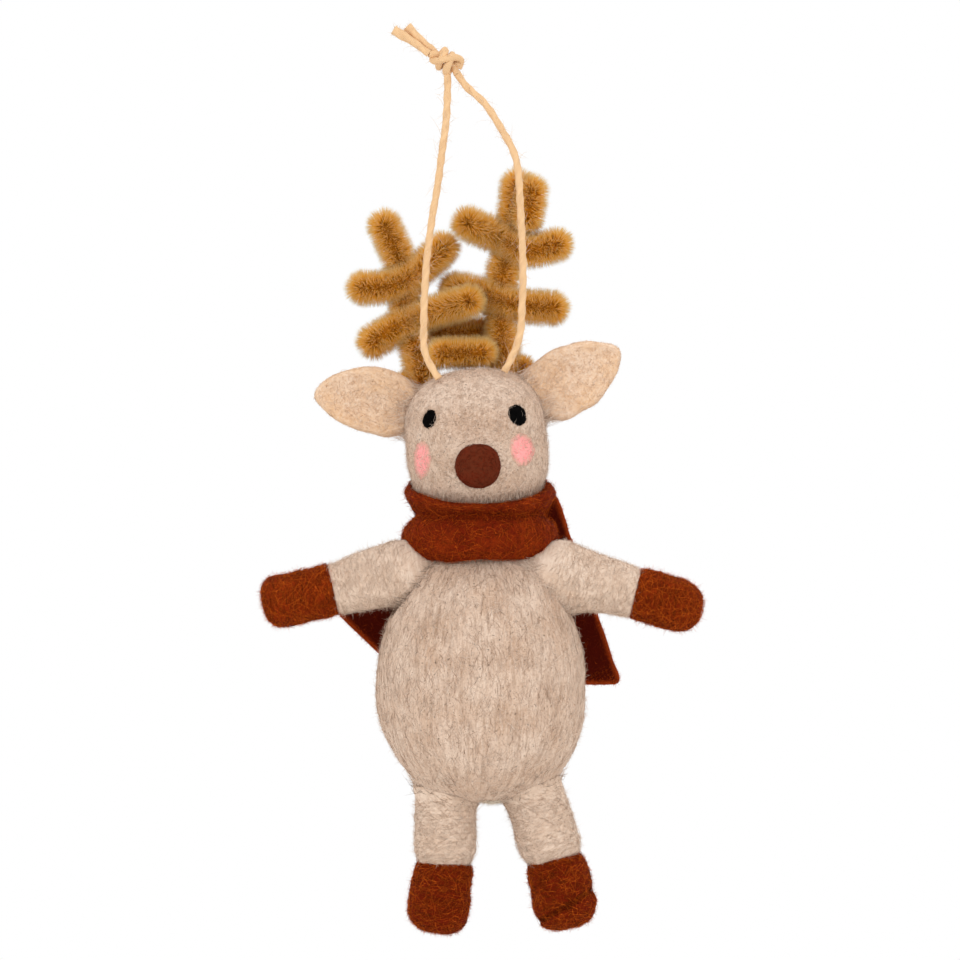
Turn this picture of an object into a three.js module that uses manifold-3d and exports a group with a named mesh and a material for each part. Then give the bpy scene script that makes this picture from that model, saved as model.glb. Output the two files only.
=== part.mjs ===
// Felted wool reindeer ornament on a twine loop, in millimetres.
// +Z is up, the face looks along -Y, and the origin is the hang point inside the loop, under its knot.
// Left and right are as seen from the front.
import * as THREE from 'three';
import { mergeVertices } from 'three/addons/utils/BufferGeometryUtils.js';
import Module from 'manifold-3d';

const wasm = await Module();
wasm.setup();

// Clearances
const GAP = 0.3;
const SWING_GAP = 0.4;
const EAR_GAP = 0.7;

// Twine hanger: its points run up from the head to the knot
const TWINE_RADIUS = 0.75;
const LEFT_STRAND = [
  [-2.6, -6.8, -59.8], [-4, -6.5, -57.6], [-5.4, -6, -54.4], [-5.6, -5.2, -48.2], [-5.4, -4.4, -42.2],
  [-5, -3.6, -36], [-4, -2.8, -28], [-3, -2.1, -22], [-2, -1.4, -14.6], [-1.2, -0.8, -8.4],
  [-0.9, -0.2, -2.4], [-0.9, 0, 1.2],
];
const RIGHT_STRAND = [
  [10.4, -5.2, -58.4], [12, -5.1, -55.4], [13.6, -4.8, -50.8], [14, -4.4, -45.2], [14.2, -3.8, -39],
  [14, -3.1, -31.8], [13.6, -2.4, -24.4], [13.2, -1.8, -18.2], [12.4, -1.4, -14.6], [10.2, -1, -10.4],
  [6.6, -0.5, -4.8], [2.8, -0.1, -1.2], [1.1, 0, 1.2],
];
const UPPER_TAIL = [[-3.8, 0.8, 6.5], [-6.4, 0.9, 8.6], [-8.8, 1, 10.6]];
const LOWER_TAIL = [[-4.6, -0.8, 5.4], [-8, -0.9, 7.8], [-11.8, -0.8, 10]];
const STITCH = [[-2.6, -6, -62], [-1, -4, -66], [4, -3.4, -67], [9, -3.6, -65], [10.4, -4.6, -60.8]];
const KNOT_CENTRE = [-1.1, 0, 3.7];
const KNOT_LENGTH = 7.2;
const KNOT_THICKNESS = 5.4;
const KNOT_LEAN = 36;
const HANGER_FLOP = 90;

// Head, rolled so that its right side sits higher
const HEAD_CENTRE = new THREE.Vector3(4.8, 1.5, -71.6);
const HEAD_HALF_WIDTH = 14.5;
const HEAD_HALF_DEPTH = 14;
const HEAD_HALF_HEIGHT = 14;
const HEAD_SQUARENESS = 2.5;
const CROWN_POWER = 2.5;
const JAW_POWER = 3.2;
const HEAD_ROLL = 4.6;
const HEAD_WALL = 4.5;
const MUZZLE_HALF_WIDTH = 11.5;
const MUZZLE_HALF_HEIGHT = 9;
const MUZZLE_REACH = 2.8;
const MUZZLE_HALF_DEPTH = 11;
const MUZZLE_DROP = 5;

// Face, measured from the middle of the head
const NOSE_DIAMETER = 8.8;
const NOSE_THICKNESS = 7;
const NOSE_SINK = 0.8;
const NOSE_DROP = 5.6;
const EYE_SPREAD = 8.8;
const EYE_HEIGHT = 4.2;
const EYE_SIZE = [3.2, 4, 1.8];
const EYE_LEAN = 14;
const LEFT_CHEEK_SPREAD = 11;
const RIGHT_CHEEK_SPREAD = 9;
const CHEEK_DROP = 3.2;
const CHEEK_SIZE = [4.2, 6.4, 1.6];

// Ears: felt leaves on a rounded root
const EAR_LENGTH = 19.5;
const EAR_WIDTH = 14.5;
const EAR_THICKNESS = 3;
const EAR_SETBACK = 1.5;
const EAR_ROOT_LENGTH = 7;
const EAR_ROOT_RADIUS = 1.6;
const LEFT_EAR_HEIGHT = 7.1;
const RIGHT_EAR_HEIGHT = 8.4;
const LEFT_EAR_RISE = 12;
const RIGHT_EAR_RISE = 22;
const EAR_FORWARD = 25;
const EAR_BACK = 15;

// Antlers: chenille stems, each beam with two stems wound across it
const STEM_RADIUS = 3.3;
const BRIDGE_RADIUS = 2.9;
const STUB_RADIUS = 2.3;
const LEFT_BEAM_SPREAD = 10;
const RIGHT_BEAM_SPREAD = 6.8;
const BEAM_SETBACK = 6.5;
const BEAM_SINK = 0.6;
const LEFT_BEAM = [[0, 0, 0], [-0.9, 1.5, 7.6], [-3.5, 2, 16.8], [-3.3, 2, 23], [-4.3, 2, 26.6], [-8, 1, 36.4]];
const RIGHT_BEAM = [[0, 0, 0], [-0.4, 1.5, 5.9], [-1, 2, 15.7], [-0.4, 2, 21.5], [1, 2, 27], [4.2, 1, 40.7]];
const WRAP_DEPTH = 4.2;
const WRAP_SPREAD = 1.6;
const WRAP_IN_FRONT = { spread: 1.6, depth: 4.2 };
const WRAP_ROUND_THE_SIDE = { spread: 4.2, depth: 1.4 };
const LEFT_UPPER = { height: 22.6, wrap: WRAP_IN_FRONT, outer: [-12, -0.5, -1.2], inner: [9.6, 2.6, 9] };
const LEFT_LOWER = { height: 13.8, wrap: WRAP_IN_FRONT, outer: [-9.4, -0.6, -4], inner: [14.8, -7.6, 5.6] };
const RIGHT_UPPER = { height: 26.5, wrap: WRAP_IN_FRONT, outer: [12.6, -0.5, 1.2], inner: [-11, -5.8, 5.6] };
const RIGHT_LOWER = { height: 15.5, wrap: WRAP_ROUND_THE_SIDE, outer: [13.8, -0.5, -1.4], inner: [-11.6, 4.4, 3] };
const FRONT_BRIDGE_HEIGHT = 8.6;
const FRONT_BRIDGE_DEPTH = -5;
const BACK_BRIDGE_HEIGHT = 12.4;
const BACK_BRIDGE_DEPTH = 4;
const STUB_LENGTH = 4.4;
const STUB_RISE = 2;
const ANTLER_BACK = 25;

// Torso: an egg of wool round a pale core, with a neck
const TORSO_X = 5.6;
const TORSO_Y = -1.5;
const TORSO_WAIST_Z = -122;
const TORSO_HALF_WIDTH = 20.9;
const TORSO_HALF_DEPTH = 17.8;
const TORSO_TOP_HEIGHT = 30;
const TORSO_BOTTOM_HEIGHT = 22;
const TORSO_TOP_POWER = 2;
const TORSO_BOTTOM_POWER = 2.4;
const TORSO_WALL = 5;
const CORE_PLUG_RADIUS = 4.2;
const CORE_PLUG_X = 7.6;
const CORE_PLUG_REACH = 0.4;
const NECK_RADIUS = 7.5;
const NECK_DROP = 0.8;
const NECK_TURN = 10;

// Wire armature
const WIRE_RADIUS = 0.8;
const NECK_WIRE_REACH = 9;
const HIP_WIRE_RISE = 13;

// Arms: pivot, slope below level, length, and where the mitten starts
const ARM_Y = -3;
const ARM_ROOT_RADIUS = 6.6;
const ARM_WRIST_RADIUS = 4.9;
const MITT_RADIUS = 5.2;
const LEFT_ARM = { side: -1, pivot: [-10.8, -98.6], slope: 13.6, cuff: 13.6, length: 27.6 };
const RIGHT_ARM = { side: 1, pivot: [22, -98.8], slope: 14.9, cuff: 15.4, length: 28.8 };
const ARM_RAISE = 45;
const ARM_LOWER = 30;

// Legs: hip, slant outward, ankle distance, and the boot with its own slant
const LEG_Y = -1.5;
const LEG_RADIUS = 6;
const BOOT_RADIUS = 6.1;
const BOOT_LENGTH = 13.6;
const LEFT_LEG = { side: -1, hip: [-1.4, -143.4], slant: 0, bootSlant: 5, ankle: 13.6 };
const RIGHT_LEG = { side: 1, hip: [16.4, -143], slant: 18, bootSlant: 8, ankle: 13.9 };
const LEG_FORWARD = 35;
const LEG_BACK = 25;

// Scarf: a felt strip wound round the neck, with two tails behind
const SCARF_Y = 0;
const SCARF_TOP_RADIUS = 15.4;
const SCARF_PINCH_RADIUS = 12.8;
const SCARF_BULGE_RADIUS = 15.5;
const SCARF_HEM_RADIUS = 12.4;
const SCARF_TOP_Z = -82.2;
const SCARF_PINCH_Z = -87;
const SCARF_BULGE_Z = -91;
const SCARF_HEM_Z = -96.2;
const SCARF_BACK_RISE = 0.22;
const STRIP_WIDTH = 14;
const STRIP_THICKNESS = 2.6;
const TAIL_SAG = 0.8;
const LEFT_TAIL = { root: [3.4, -88.6], slant: -44, length: 30 };
const RIGHT_TAIL = { root: [15.2, -87], slant: 19, length: 35 };
const TAIL_SWING = 45;

// Facets
const LIMB_FACETS = 16;
const TUBE_SIDES = 8;
const STEM_SIDES = 10;
const SWEEP_FACETS = 12;
const SWEEP_STEPS = 5;
const FACET_TOLERANCE = 0.05;

function radians(degrees) {
  return THREE.MathUtils.degToRad(degrees);
}

function vector([x, y, z]) {
  return new THREE.Vector3(x, y, z);
}

// A closed solid from a geometry, with its faces turned outward
function solidOf(geometry) {
  const bare = geometry.index ? geometry.toNonIndexed() : geometry.clone();
  bare.deleteAttribute('normal');
  bare.deleteAttribute('uv');
  const merged = mergeVertices(bare, 1e-4);
  const place = merged.attributes.position;
  const corners = [0, 1, 2].map(() => new THREE.Vector3());
  const faces = [];
  let volume = 0;
  for (let i = 0; i < merged.index.count; i += 3) {
    const face = [0, 1, 2].map((k) => merged.index.getX(i + k));
    if (new Set(face).size < 3) continue;
    face.forEach((vertex, k) => corners[k].fromBufferAttribute(place, vertex));
    volume += corners[0].dot(corners[1].cross(corners[2]));
    faces.push(face);
  }
  const outward = volume < 0 ? faces.map(([a, b, c]) => [a, c, b]) : faces;
  const mesh = new wasm.Mesh({
    numProp: 3,
    vertProperties: new Float32Array(place.array),
    triVerts: new Uint32Array(outward.flat()),
  });
  return new wasm.Manifold(mesh);
}

function geometryOf(solid) {
  const mesh = solid.asOriginal().simplify(FACET_TOLERANCE).getMesh();
  const geometry = new THREE.BufferGeometry();
  geometry.setAttribute('position', new THREE.BufferAttribute(new Float32Array(mesh.vertProperties), 3));
  geometry.setIndex(new THREE.BufferAttribute(new Uint32Array(mesh.triVerts), 1));
  geometry.computeVertexNormals();
  return geometry;
}

function moved(solid, matrix) {
  return solid.transform(matrix.elements);
}

// A turn by an angle about a line through a pivot
function turnAbout(pivot, axis, degrees) {
  const there = new THREE.Matrix4().makeTranslation(pivot.x, pivot.y, pivot.z);
  const turn = new THREE.Matrix4().makeRotationAxis(axis, radians(degrees));
  const back = new THREE.Matrix4().makeTranslation(-pivot.x, -pivot.y, -pivot.z);
  return there.multiply(turn).multiply(back);
}

// The rounded-out space a convex solid passes through as it turns from one angle to another
function swept(solid, hinge, from, to, steps) {
  let space = solid;
  for (let step = 0; step <= steps; step += 1) {
    const angle = from + (to - from) * step / steps;
    space = space.add(moved(solid, turnAbout(hinge.pivot, hinge.axis, angle)));
  }
  return space.hull();
}

// The room a limb needs in the torso: its ball, and its taper through the whole swing
function swingRoom(radius, endRadius, length, frame, axis, from, to) {
  const wide = radius / Math.cos(Math.PI / SWEEP_FACETS);
  const narrow = endRadius / Math.cos(Math.PI / SWEEP_FACETS);
  const profile = [[0, 0], [wide, 0], [narrow, length], [0, length]];
  const taper = turned(profile, frame.pivot, frame.direction, SWEEP_FACETS);
  const socket = new THREE.Matrix4().makeTranslation(...frame.pivot.toArray());
  const room = taper.add(moved(ball(wide, SWEEP_FACETS, 8), socket));
  return swept(room, { pivot: frame.pivot, axis }, from, to, SWEEP_STEPS);
}

// A round form that swells by different powers above and below its middle
function egg({ width, depth, up, down, round, upPower, downPower }, columns, rows) {
  const geometry = new THREE.SphereGeometry(1, columns, rows).rotateX(Math.PI / 2);
  const place = geometry.attributes.position;
  for (let i = 0; i < place.count; i += 1) {
    const [x, y, z] = [place.getX(i), place.getY(i), place.getZ(i)];
    const power = z < 0 ? downPower : upPower;
    const level = (Math.abs(x) ** round + Math.abs(y) ** round) ** (power / round);
    const reach = (level + Math.abs(z) ** power) ** (-1 / power);
    place.setXYZ(i, x * reach * width, y * reach * depth, z * reach * (z < 0 ? down : up));
  }
  return solidOf(geometry);
}

function ball(radius, columns = 16, rows = 10) {
  return solidOf(new THREE.SphereGeometry(radius, columns, rows));
}

function ellipsoid(sizes, columns = 16, rows = 10) {
  const [width, height, depth] = sizes;
  const geometry = new THREE.SphereGeometry(0.5, columns, rows).scale(width, depth, height);
  return solidOf(geometry);
}

// A round tube along a smooth curve
function tube(points, radius, sides, steps) {
  const curve = new THREE.CatmullRomCurve3(points, false, 'centripetal');
  const circle = new THREE.Shape();
  for (let side = 0; side < sides; side += 1) {
    const angle = 2 * Math.PI * side / sides;
    const corner = [radius * Math.cos(angle), radius * Math.sin(angle)];
    if (side === 0) circle.moveTo(...corner);
    else circle.lineTo(...corner);
  }
  return solidOf(new THREE.ExtrudeGeometry(circle, { steps, extrudePath: curve }));
}

// A turned form along a direction from a pivot
function turned(profile, pivot, direction, facets = LIMB_FACETS) {
  const points = profile.map(([radius, along]) => new THREE.Vector2(radius, along));
  const geometry = new THREE.LatheGeometry(points, facets);
  const lie = new THREE.Quaternion().setFromUnitVectors(new THREE.Vector3(0, 1, 0), direction);
  geometry.applyQuaternion(lie);
  geometry.translate(pivot.x, pivot.y, pivot.z);
  return solidOf(geometry);
}

// A limb: a ball at the pivot that runs into a taper
function limbProfile(rootRadius, endRadius, length) {
  const profile = [[0, -rootRadius]];
  const steps = 5;
  for (let step = 1; step <= steps; step += 1) {
    const angle = Math.PI / 2 * (step / steps);
    profile.push([rootRadius * Math.sin(angle), -rootRadius * Math.cos(angle)]);
  }
  profile.push([endRadius, length], [0, length]);
  return profile;
}

// A limb's end: straight sides into a blunt round tip
function tipProfile(radius, from, to) {
  const profile = [[0, from], [radius * 0.96, from], [radius, from + radius / 2]];
  const steps = 6;
  const squareness = 2.6;
  for (let step = 0; step <= steps; step += 1) {
    const angle = Math.PI / 2 * (step / steps);
    const across = radius * Math.cos(angle) ** (2 / squareness);
    const along = to - radius + radius * Math.sin(angle) ** (2 / squareness);
    profile.push([step === steps ? 0 : across, along]);
  }
  return profile;
}

// Head frame: rolled about the middle of the head
const headTurn = new THREE.Matrix4().makeRotationY(-radians(HEAD_ROLL));
const headPlace = new THREE.Matrix4().makeTranslation(...HEAD_CENTRE.toArray()).multiply(headTurn);

function onHead(x, y, z) {
  return new THREE.Vector3(x, y, z).applyMatrix4(headPlace);
}

function power(height) {
  return height < 0 ? JAW_POWER : CROWN_POWER;
}

// How far the head reaches forward at a point of its face, and up at a point of its crown
function faceDepth(x, z) {
  const level = 1 - (Math.abs(z) / HEAD_HALF_HEIGHT) ** power(z);
  const across = (Math.abs(x) / HEAD_HALF_WIDTH) ** HEAD_SQUARENESS;
  return HEAD_HALF_DEPTH * (level ** (HEAD_SQUARENESS / power(z)) - across) ** (1 / HEAD_SQUARENESS);
}

function crownHeight(x, y) {
  const across = (Math.abs(x) / HEAD_HALF_WIDTH) ** HEAD_SQUARENESS;
  const along = (Math.abs(y) / HEAD_HALF_DEPTH) ** HEAD_SQUARENESS;
  return HEAD_HALF_HEIGHT * (1 - (across + along) ** (CROWN_POWER / HEAD_SQUARENESS)) ** (1 / CROWN_POWER);
}

function sideReach(z) {
  return HEAD_HALF_WIDTH * (1 - (Math.abs(z) / HEAD_HALF_HEIGHT) ** power(z)) ** (1 / power(z));
}

function headEgg(grow, columns, rows) {
  const form = {
    width: HEAD_HALF_WIDTH + grow,
    depth: HEAD_HALF_DEPTH + grow,
    up: HEAD_HALF_HEIGHT + grow,
    down: HEAD_HALF_HEIGHT + grow,
    round: HEAD_SQUARENESS,
    upPower: CROWN_POWER,
    downPower: JAW_POWER,
  };
  return moved(egg(form, columns, rows), headPlace);
}

function muzzle(grow) {
  const sizes = [MUZZLE_HALF_WIDTH, MUZZLE_HALF_HEIGHT, MUZZLE_HALF_DEPTH].map((half) => 2 * (half + grow));
  const centre = onHead(0, -HEAD_HALF_DEPTH - MUZZLE_REACH + MUZZLE_HALF_DEPTH, -MUZZLE_DROP);
  const place = new THREE.Matrix4().makeTranslation(...centre.toArray()).multiply(headTurn);
  return moved(ellipsoid(sizes, 20, 12), place);
}

function headForm(grow) {
  return headEgg(grow, 26, 18).add(muzzle(grow));
}

// A small felt patch let into the face, with its flat side along the surface
function patch(sizes, x, z, lean, grow) {
  const step = 0.5;
  const front = -faceDepth(x, z);
  const across = new THREE.Vector3(2 * step, faceDepth(x - step, z) - faceDepth(x + step, z), 0).normalize();
  const up = new THREE.Vector3(0, faceDepth(x, z - step) - faceDepth(x, z + step), 2 * step).normalize();
  const inward = new THREE.Vector3().crossVectors(up, across).normalize();
  const upright = new THREE.Vector3().crossVectors(across, inward).normalize();
  const lie = new THREE.Matrix4().makeBasis(across, inward, upright).setPosition(x, front, z);
  const tilt = new THREE.Matrix4().makeRotationY(radians(lean));
  const shape = ellipsoid(sizes.map((size) => size + 2 * grow), 12, 6);
  return moved(shape, headPlace.clone().multiply(lie).multiply(tilt));
}

function noseForm(grow) {
  const sizes = [NOSE_DIAMETER, NOSE_DIAMETER, NOSE_THICKNESS].map((size) => size + 2 * grow);
  const centre = onHead(0, -HEAD_HALF_DEPTH - MUZZLE_REACH + NOSE_SINK, -NOSE_DROP);
  const place = new THREE.Matrix4().makeTranslation(...centre.toArray()).multiply(headTurn);
  return moved(ellipsoid(sizes, 16, 10), place);
}

const facePatches = {
  eye_left: (grow) => patch(EYE_SIZE, -EYE_SPREAD, EYE_HEIGHT, EYE_LEAN, grow),
  eye_right: (grow) => patch(EYE_SIZE, EYE_SPREAD, EYE_HEIGHT, -EYE_LEAN, grow),
  cheek_left: (grow) => patch(CHEEK_SIZE, -LEFT_CHEEK_SPREAD, -CHEEK_DROP, 0, grow),
  cheek_right: (grow) => patch(CHEEK_SIZE, RIGHT_CHEEK_SPREAD, -CHEEK_DROP, 0, grow),
};

// Ears, each turning about the line along its root
function earHinge(side, height) {
  const pivot = onHead(side * sideReach(height), EAR_SETBACK, height);
  const axis = new THREE.Vector3(0, 0, 1).transformDirection(headTurn);
  return { pivot, axis };
}

function earLeaf(side, hinge, rise, grow) {
  const half = EAR_WIDTH / 2 + grow;
  const length = EAR_LENGTH + grow;
  const shape = new THREE.Shape();
  shape.moveTo(-EAR_ROOT_RADIUS, -half * 0.55);
  shape.bezierCurveTo(length * 0.3, -half * 1.45, length * 0.72, -half * 0.95, length, -grow);
  shape.lineTo(length, grow);
  shape.bezierCurveTo(length * 0.72, half * 0.95, length * 0.3, half * 1.45, -EAR_ROOT_RADIUS, half * 0.55);
  const rim = EAR_THICKNESS / 4;
  const depth = EAR_THICKNESS + 2 * grow - 2 * rim;
  const trim = { depth, bevelThickness: rim, bevelSize: rim, bevelOffset: -rim, bevelSegments: 2, curveSegments: 7 };
  const geometry = new THREE.ExtrudeGeometry(shape, trim);
  geometry.translate(0, 0, -depth / 2);
  geometry.rotateX(Math.PI / 2);
  if (side < 0) geometry.rotateZ(Math.PI);
  const lift = new THREE.Matrix4().makeRotationY(-side * radians(rise));
  const place = new THREE.Matrix4().makeTranslation(...hinge.pivot.toArray()).multiply(headTurn).multiply(lift);
  return moved(solidOf(geometry), place);
}

function earRoot(hinge, grow) {
  const radius = EAR_ROOT_RADIUS + grow;
  const half = EAR_ROOT_LENGTH / 2 + grow;
  const start = hinge.pivot.clone().addScaledVector(hinge.axis, -half);
  return turned([[0, 0], [radius, 0], [radius, 2 * half], [0, 2 * half]], start, hinge.axis);
}

const leftEarHinge = earHinge(-1, LEFT_EAR_HEIGHT);
const rightEarHinge = earHinge(1, RIGHT_EAR_HEIGHT);
const headWithEarGap = headForm(EAR_GAP);

function ear(side, hinge, rise) {
  return earLeaf(side, hinge, rise, 0).subtract(headWithEarGap).add(earRoot(hinge, 0));
}

// Antlers, bending back together about the line through their two bases
function beamBase(x) {
  return onHead(x, BEAM_SETBACK, crownHeight(x, BEAM_SETBACK) - BEAM_SINK);
}

const leftBase = beamBase(-LEFT_BEAM_SPREAD);
const rightBase = beamBase(RIGHT_BEAM_SPREAD);
const antlerHinge = { pivot: leftBase, axis: rightBase.clone().sub(leftBase).normalize() };

function beamPoints(base, offsets) {
  return offsets.map((offset) => base.clone().add(vector(offset)));
}

function beamForm(base, offsets, grow) {
  const rod = tube(beamPoints(base, offsets), STEM_RADIUS + grow, STEM_SIDES, 14);
  const foot = new THREE.Matrix4().makeTranslation(...base.toArray());
  return rod.add(moved(ball(STEM_RADIUS + grow, STEM_SIDES, 6), foot));
}

// The point of a beam at a height above its base
function beamAt(base, offsets, height) {
  const curve = new THREE.CatmullRomCurve3(beamPoints(base, offsets), false, 'centripetal');
  let [low, high] = [0, 1];
  for (let turn = 0; turn < 30; turn += 1) {
    const middle = (low + high) / 2;
    if (curve.getPoint(middle).z < base.z + height) low = middle;
    else high = middle;
  }
  return curve.getPoint(low);
}

function crossStem(base, offsets, { height, wrap, outer, inner }, grow = 0) {
  const middle = beamAt(base, offsets, height);
  const away = Math.sign(outer[0]);
  const points = [
    middle.clone().add(vector(outer)),
    middle.clone().add(new THREE.Vector3(away * 2 * WRAP_SPREAD, -WRAP_DEPTH, -WRAP_SPREAD / 2)),
    middle.clone().add(new THREE.Vector3(-away * wrap.spread, -wrap.depth, WRAP_SPREAD)),
    middle.clone().add(vector(inner)),
  ];
  return tube(points, STEM_RADIUS + grow, STEM_SIDES, 10);
}

function bridge(height, depth) {
  const left = beamAt(leftBase, LEFT_BEAM, height);
  const right = beamAt(rightBase, RIGHT_BEAM, left.z - rightBase.z);
  const bend = STEM_RADIUS;
  const points = [
    left.clone().add(new THREE.Vector3(-bend / 2, 0.7 * depth, 0)),
    left.clone().add(new THREE.Vector3(bend, depth, 0)),
    right.clone().add(new THREE.Vector3(-bend, depth, 0)),
    right.clone().add(new THREE.Vector3(bend / 2, 0.7 * depth, 0)),
  ];
  return tube(points, BRIDGE_RADIUS, STEM_SIDES, 8);
}

function stub(base, side, grow) {
  const start = base.clone().add(new THREE.Vector3(side * STEM_RADIUS / 2, 0, STUB_RISE));
  const end = start.clone().add(new THREE.Vector3(side * (STUB_LENGTH + grow), 0, STUB_RISE / 2));
  return tube([start, end], STUB_RADIUS + grow, TUBE_SIDES, 2);
}

const leftBeam = beamForm(leftBase, LEFT_BEAM, 0);
const rightBeam = beamForm(rightBase, RIGHT_BEAM, 0);
const beamSpace = beamForm(leftBase, LEFT_BEAM, GAP).add(beamForm(rightBase, RIGHT_BEAM, GAP));

// Each front stem presses into what passes behind it
const frontSpace = crossStem(leftBase, LEFT_BEAM, LEFT_LOWER, GAP)
  .add(crossStem(rightBase, RIGHT_BEAM, RIGHT_UPPER, GAP))
  .add(beamSpace);
const crossStems = {
  antler_lower_left: crossStem(leftBase, LEFT_BEAM, LEFT_LOWER).subtract(beamSpace),
  antler_upper_right: crossStem(rightBase, RIGHT_BEAM, RIGHT_UPPER).subtract(beamSpace),
  antler_upper_left: crossStem(leftBase, LEFT_BEAM, LEFT_UPPER).subtract(frontSpace),
  antler_lower_right: crossStem(rightBase, RIGHT_BEAM, RIGHT_LOWER).subtract(frontSpace),
};
const frontBridge = bridge(FRONT_BRIDGE_HEIGHT, FRONT_BRIDGE_DEPTH).subtract(frontSpace);
const backBridge = bridge(BACK_BRIDGE_HEIGHT, BACK_BRIDGE_DEPTH).subtract(frontSpace);
const stubs = {
  antler_stub_left: stub(leftBase, -1, 0).subtract(beamSpace),
  antler_stub_right: stub(rightBase, 1, 0).subtract(beamSpace),
};

// Twine hanger, with the figure swinging on the line through its two lower ends
function twine(points, grow, steps) {
  return tube(points.map(vector), TWINE_RADIUS + grow, TUBE_SIDES, steps);
}

const leftStrand = twine(LEFT_STRAND, 0, 24);
const rightStrand = twine(RIGHT_STRAND, 0, 26);
const stitch = twine(STITCH, 0, 10);
const leftHole = vector(LEFT_STRAND[0]);
const rightHole = vector(RIGHT_STRAND[0]);
const hangerHinge = { pivot: leftHole, axis: rightHole.clone().sub(leftHole).normalize() };

function knot() {
  const place = new THREE.Matrix4().makeTranslation(...KNOT_CENTRE);
  place.multiply(new THREE.Matrix4().makeRotationY(radians(KNOT_LEAN)));
  const body = moved(ellipsoid([KNOT_LENGTH, KNOT_THICKNESS, KNOT_THICKNESS], 16, 10), place);
  const cords = [LEFT_STRAND, RIGHT_STRAND, UPPER_TAIL, LOWER_TAIL];
  return cords.reduce((rest, cord) => rest.subtract(twine(cord, GAP, 24)), body);
}

// Arms and legs, each turning on a ball in a socket of the torso
function limbFrame([x, z], y, tilt, side) {
  const pivot = new THREE.Vector3(x, y, z);
  const direction = new THREE.Vector3(side * Math.cos(tilt), 0, -Math.sin(tilt));
  return { pivot, direction };
}

function wire(start, direction, from, to, grow) {
  const points = [from - grow, to + grow].map((along) => start.clone().addScaledVector(direction, along));
  return tube(points, WIRE_RADIUS + grow, TUBE_SIDES, 1);
}

function arm(spec) {
  const frame = limbFrame(spec.pivot, ARM_Y, radians(spec.slope), spec.side);
  const { pivot, direction } = frame;
  const axis = new THREE.Vector3(0, spec.side, 0);
  const [root, wrist] = [ARM_ROOT_RADIUS + SWING_GAP, ARM_WRIST_RADIUS + SWING_GAP];
  const form = (grow) => {
    const profile = limbProfile(ARM_ROOT_RADIUS + grow, ARM_WRIST_RADIUS + grow, spec.cuff + grow);
    return turned(profile, pivot, direction);
  };
  const rod = (grow) => wire(pivot, direction, -ARM_ROOT_RADIUS / 2, spec.cuff + MITT_RADIUS, grow);
  const mitt = turned(tipProfile(MITT_RADIUS, spec.cuff + GAP, spec.length), pivot, direction);
  return {
    wrap: form(0).subtract(rod(GAP)),
    wire: rod(0),
    mitt: mitt.subtract(rod(GAP)),
    space: swingRoom(root, wrist, spec.cuff, frame, axis, -ARM_RAISE, ARM_LOWER),
    pivot,
  };
}

function leg(spec) {
  const frame = limbFrame(spec.hip, LEG_Y, radians(90 - spec.slant), spec.side);
  const { pivot, direction } = frame;
  const axis = new THREE.Vector3(1, 0, 0);
  const radius = LEG_RADIUS + SWING_GAP;
  const form = (grow) => {
    const profile = limbProfile(LEG_RADIUS + grow, LEG_RADIUS + grow, spec.ankle + grow);
    return turned(profile, pivot, direction);
  };
  const rod = (grow) => wire(pivot, direction, -LEG_RADIUS / 2, spec.ankle + BOOT_RADIUS, grow);
  const ankle = pivot.clone().addScaledVector(direction, spec.ankle);
  const bootSide = Math.sin(radians(spec.bootSlant)) * spec.side;
  const bootDirection = new THREE.Vector3(bootSide, 0, -Math.cos(radians(spec.bootSlant)));
  const boot = turned(tipProfile(BOOT_RADIUS, -BOOT_RADIUS / 4, BOOT_LENGTH), ankle, bootDirection);
  return {
    wrap: form(0).subtract(rod(GAP)),
    wire: rod(0),
    boot: boot.subtract(form(GAP)).subtract(rod(GAP)),
    space: swingRoom(radius, radius, spec.ankle, frame, axis, -LEG_FORWARD, LEG_BACK),
    pivot,
  };
}

const arms = { left: arm(LEFT_ARM), right: arm(RIGHT_ARM) };
const legs = { left: leg(LEFT_LEG), right: leg(RIGHT_LEG) };
const limbSpace = [arms.left, arms.right, legs.left, legs.right].reduce(
  (space, limb) => space.add(limb.space), ball(GAP));

// Torso shell, core and neck
const torsoPlace = new THREE.Matrix4().makeTranslation(TORSO_X, TORSO_Y, TORSO_WAIST_Z);
const neckHinge = {
  pivot: new THREE.Vector3(HEAD_CENTRE.x, SCARF_Y, HEAD_CENTRE.z - HEAD_HALF_HEIGHT - NECK_DROP),
  axis: new THREE.Vector3(0, 0, 1),
};

function torsoForm(grow, columns, rows) {
  const form = {
    width: TORSO_HALF_WIDTH + grow,
    depth: TORSO_HALF_DEPTH + grow,
    up: TORSO_TOP_HEIGHT + grow,
    down: TORSO_BOTTOM_HEIGHT + grow,
    round: 2,
    upPower: TORSO_TOP_POWER,
    downPower: TORSO_BOTTOM_POWER,
  };
  return moved(egg(form, columns, rows), torsoPlace);
}

function uprightRod(x, y, radius, bottom, top) {
  const profile = [[0, 0], [radius, 0], [radius, top - bottom], [0, top - bottom]];
  return turned(profile, new THREE.Vector3(x, y, bottom), new THREE.Vector3(0, 0, 1));
}

const torsoTop = TORSO_WAIST_Z + TORSO_TOP_HEIGHT;
const torsoBottom = TORSO_WAIST_Z - TORSO_BOTTOM_HEIGHT;
const neck = uprightRod(neckHinge.pivot.x, SCARF_Y, NECK_RADIUS, torsoTop - TORSO_WALL, neckHinge.pivot.z);
const plugTop = torsoBottom + 2 * TORSO_WALL;

function corePlug(grow) {
  return uprightRod(CORE_PLUG_X, TORSO_Y, CORE_PLUG_RADIUS + grow, torsoBottom - CORE_PLUG_REACH - grow, plugTop);
}

// Wires inside the torso, running to the sockets and up into the head
const wireTop = neckHinge.pivot.z + NECK_WIRE_REACH;
const shoulderZ = (arms.left.pivot.z + arms.right.pivot.z) / 2;

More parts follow.
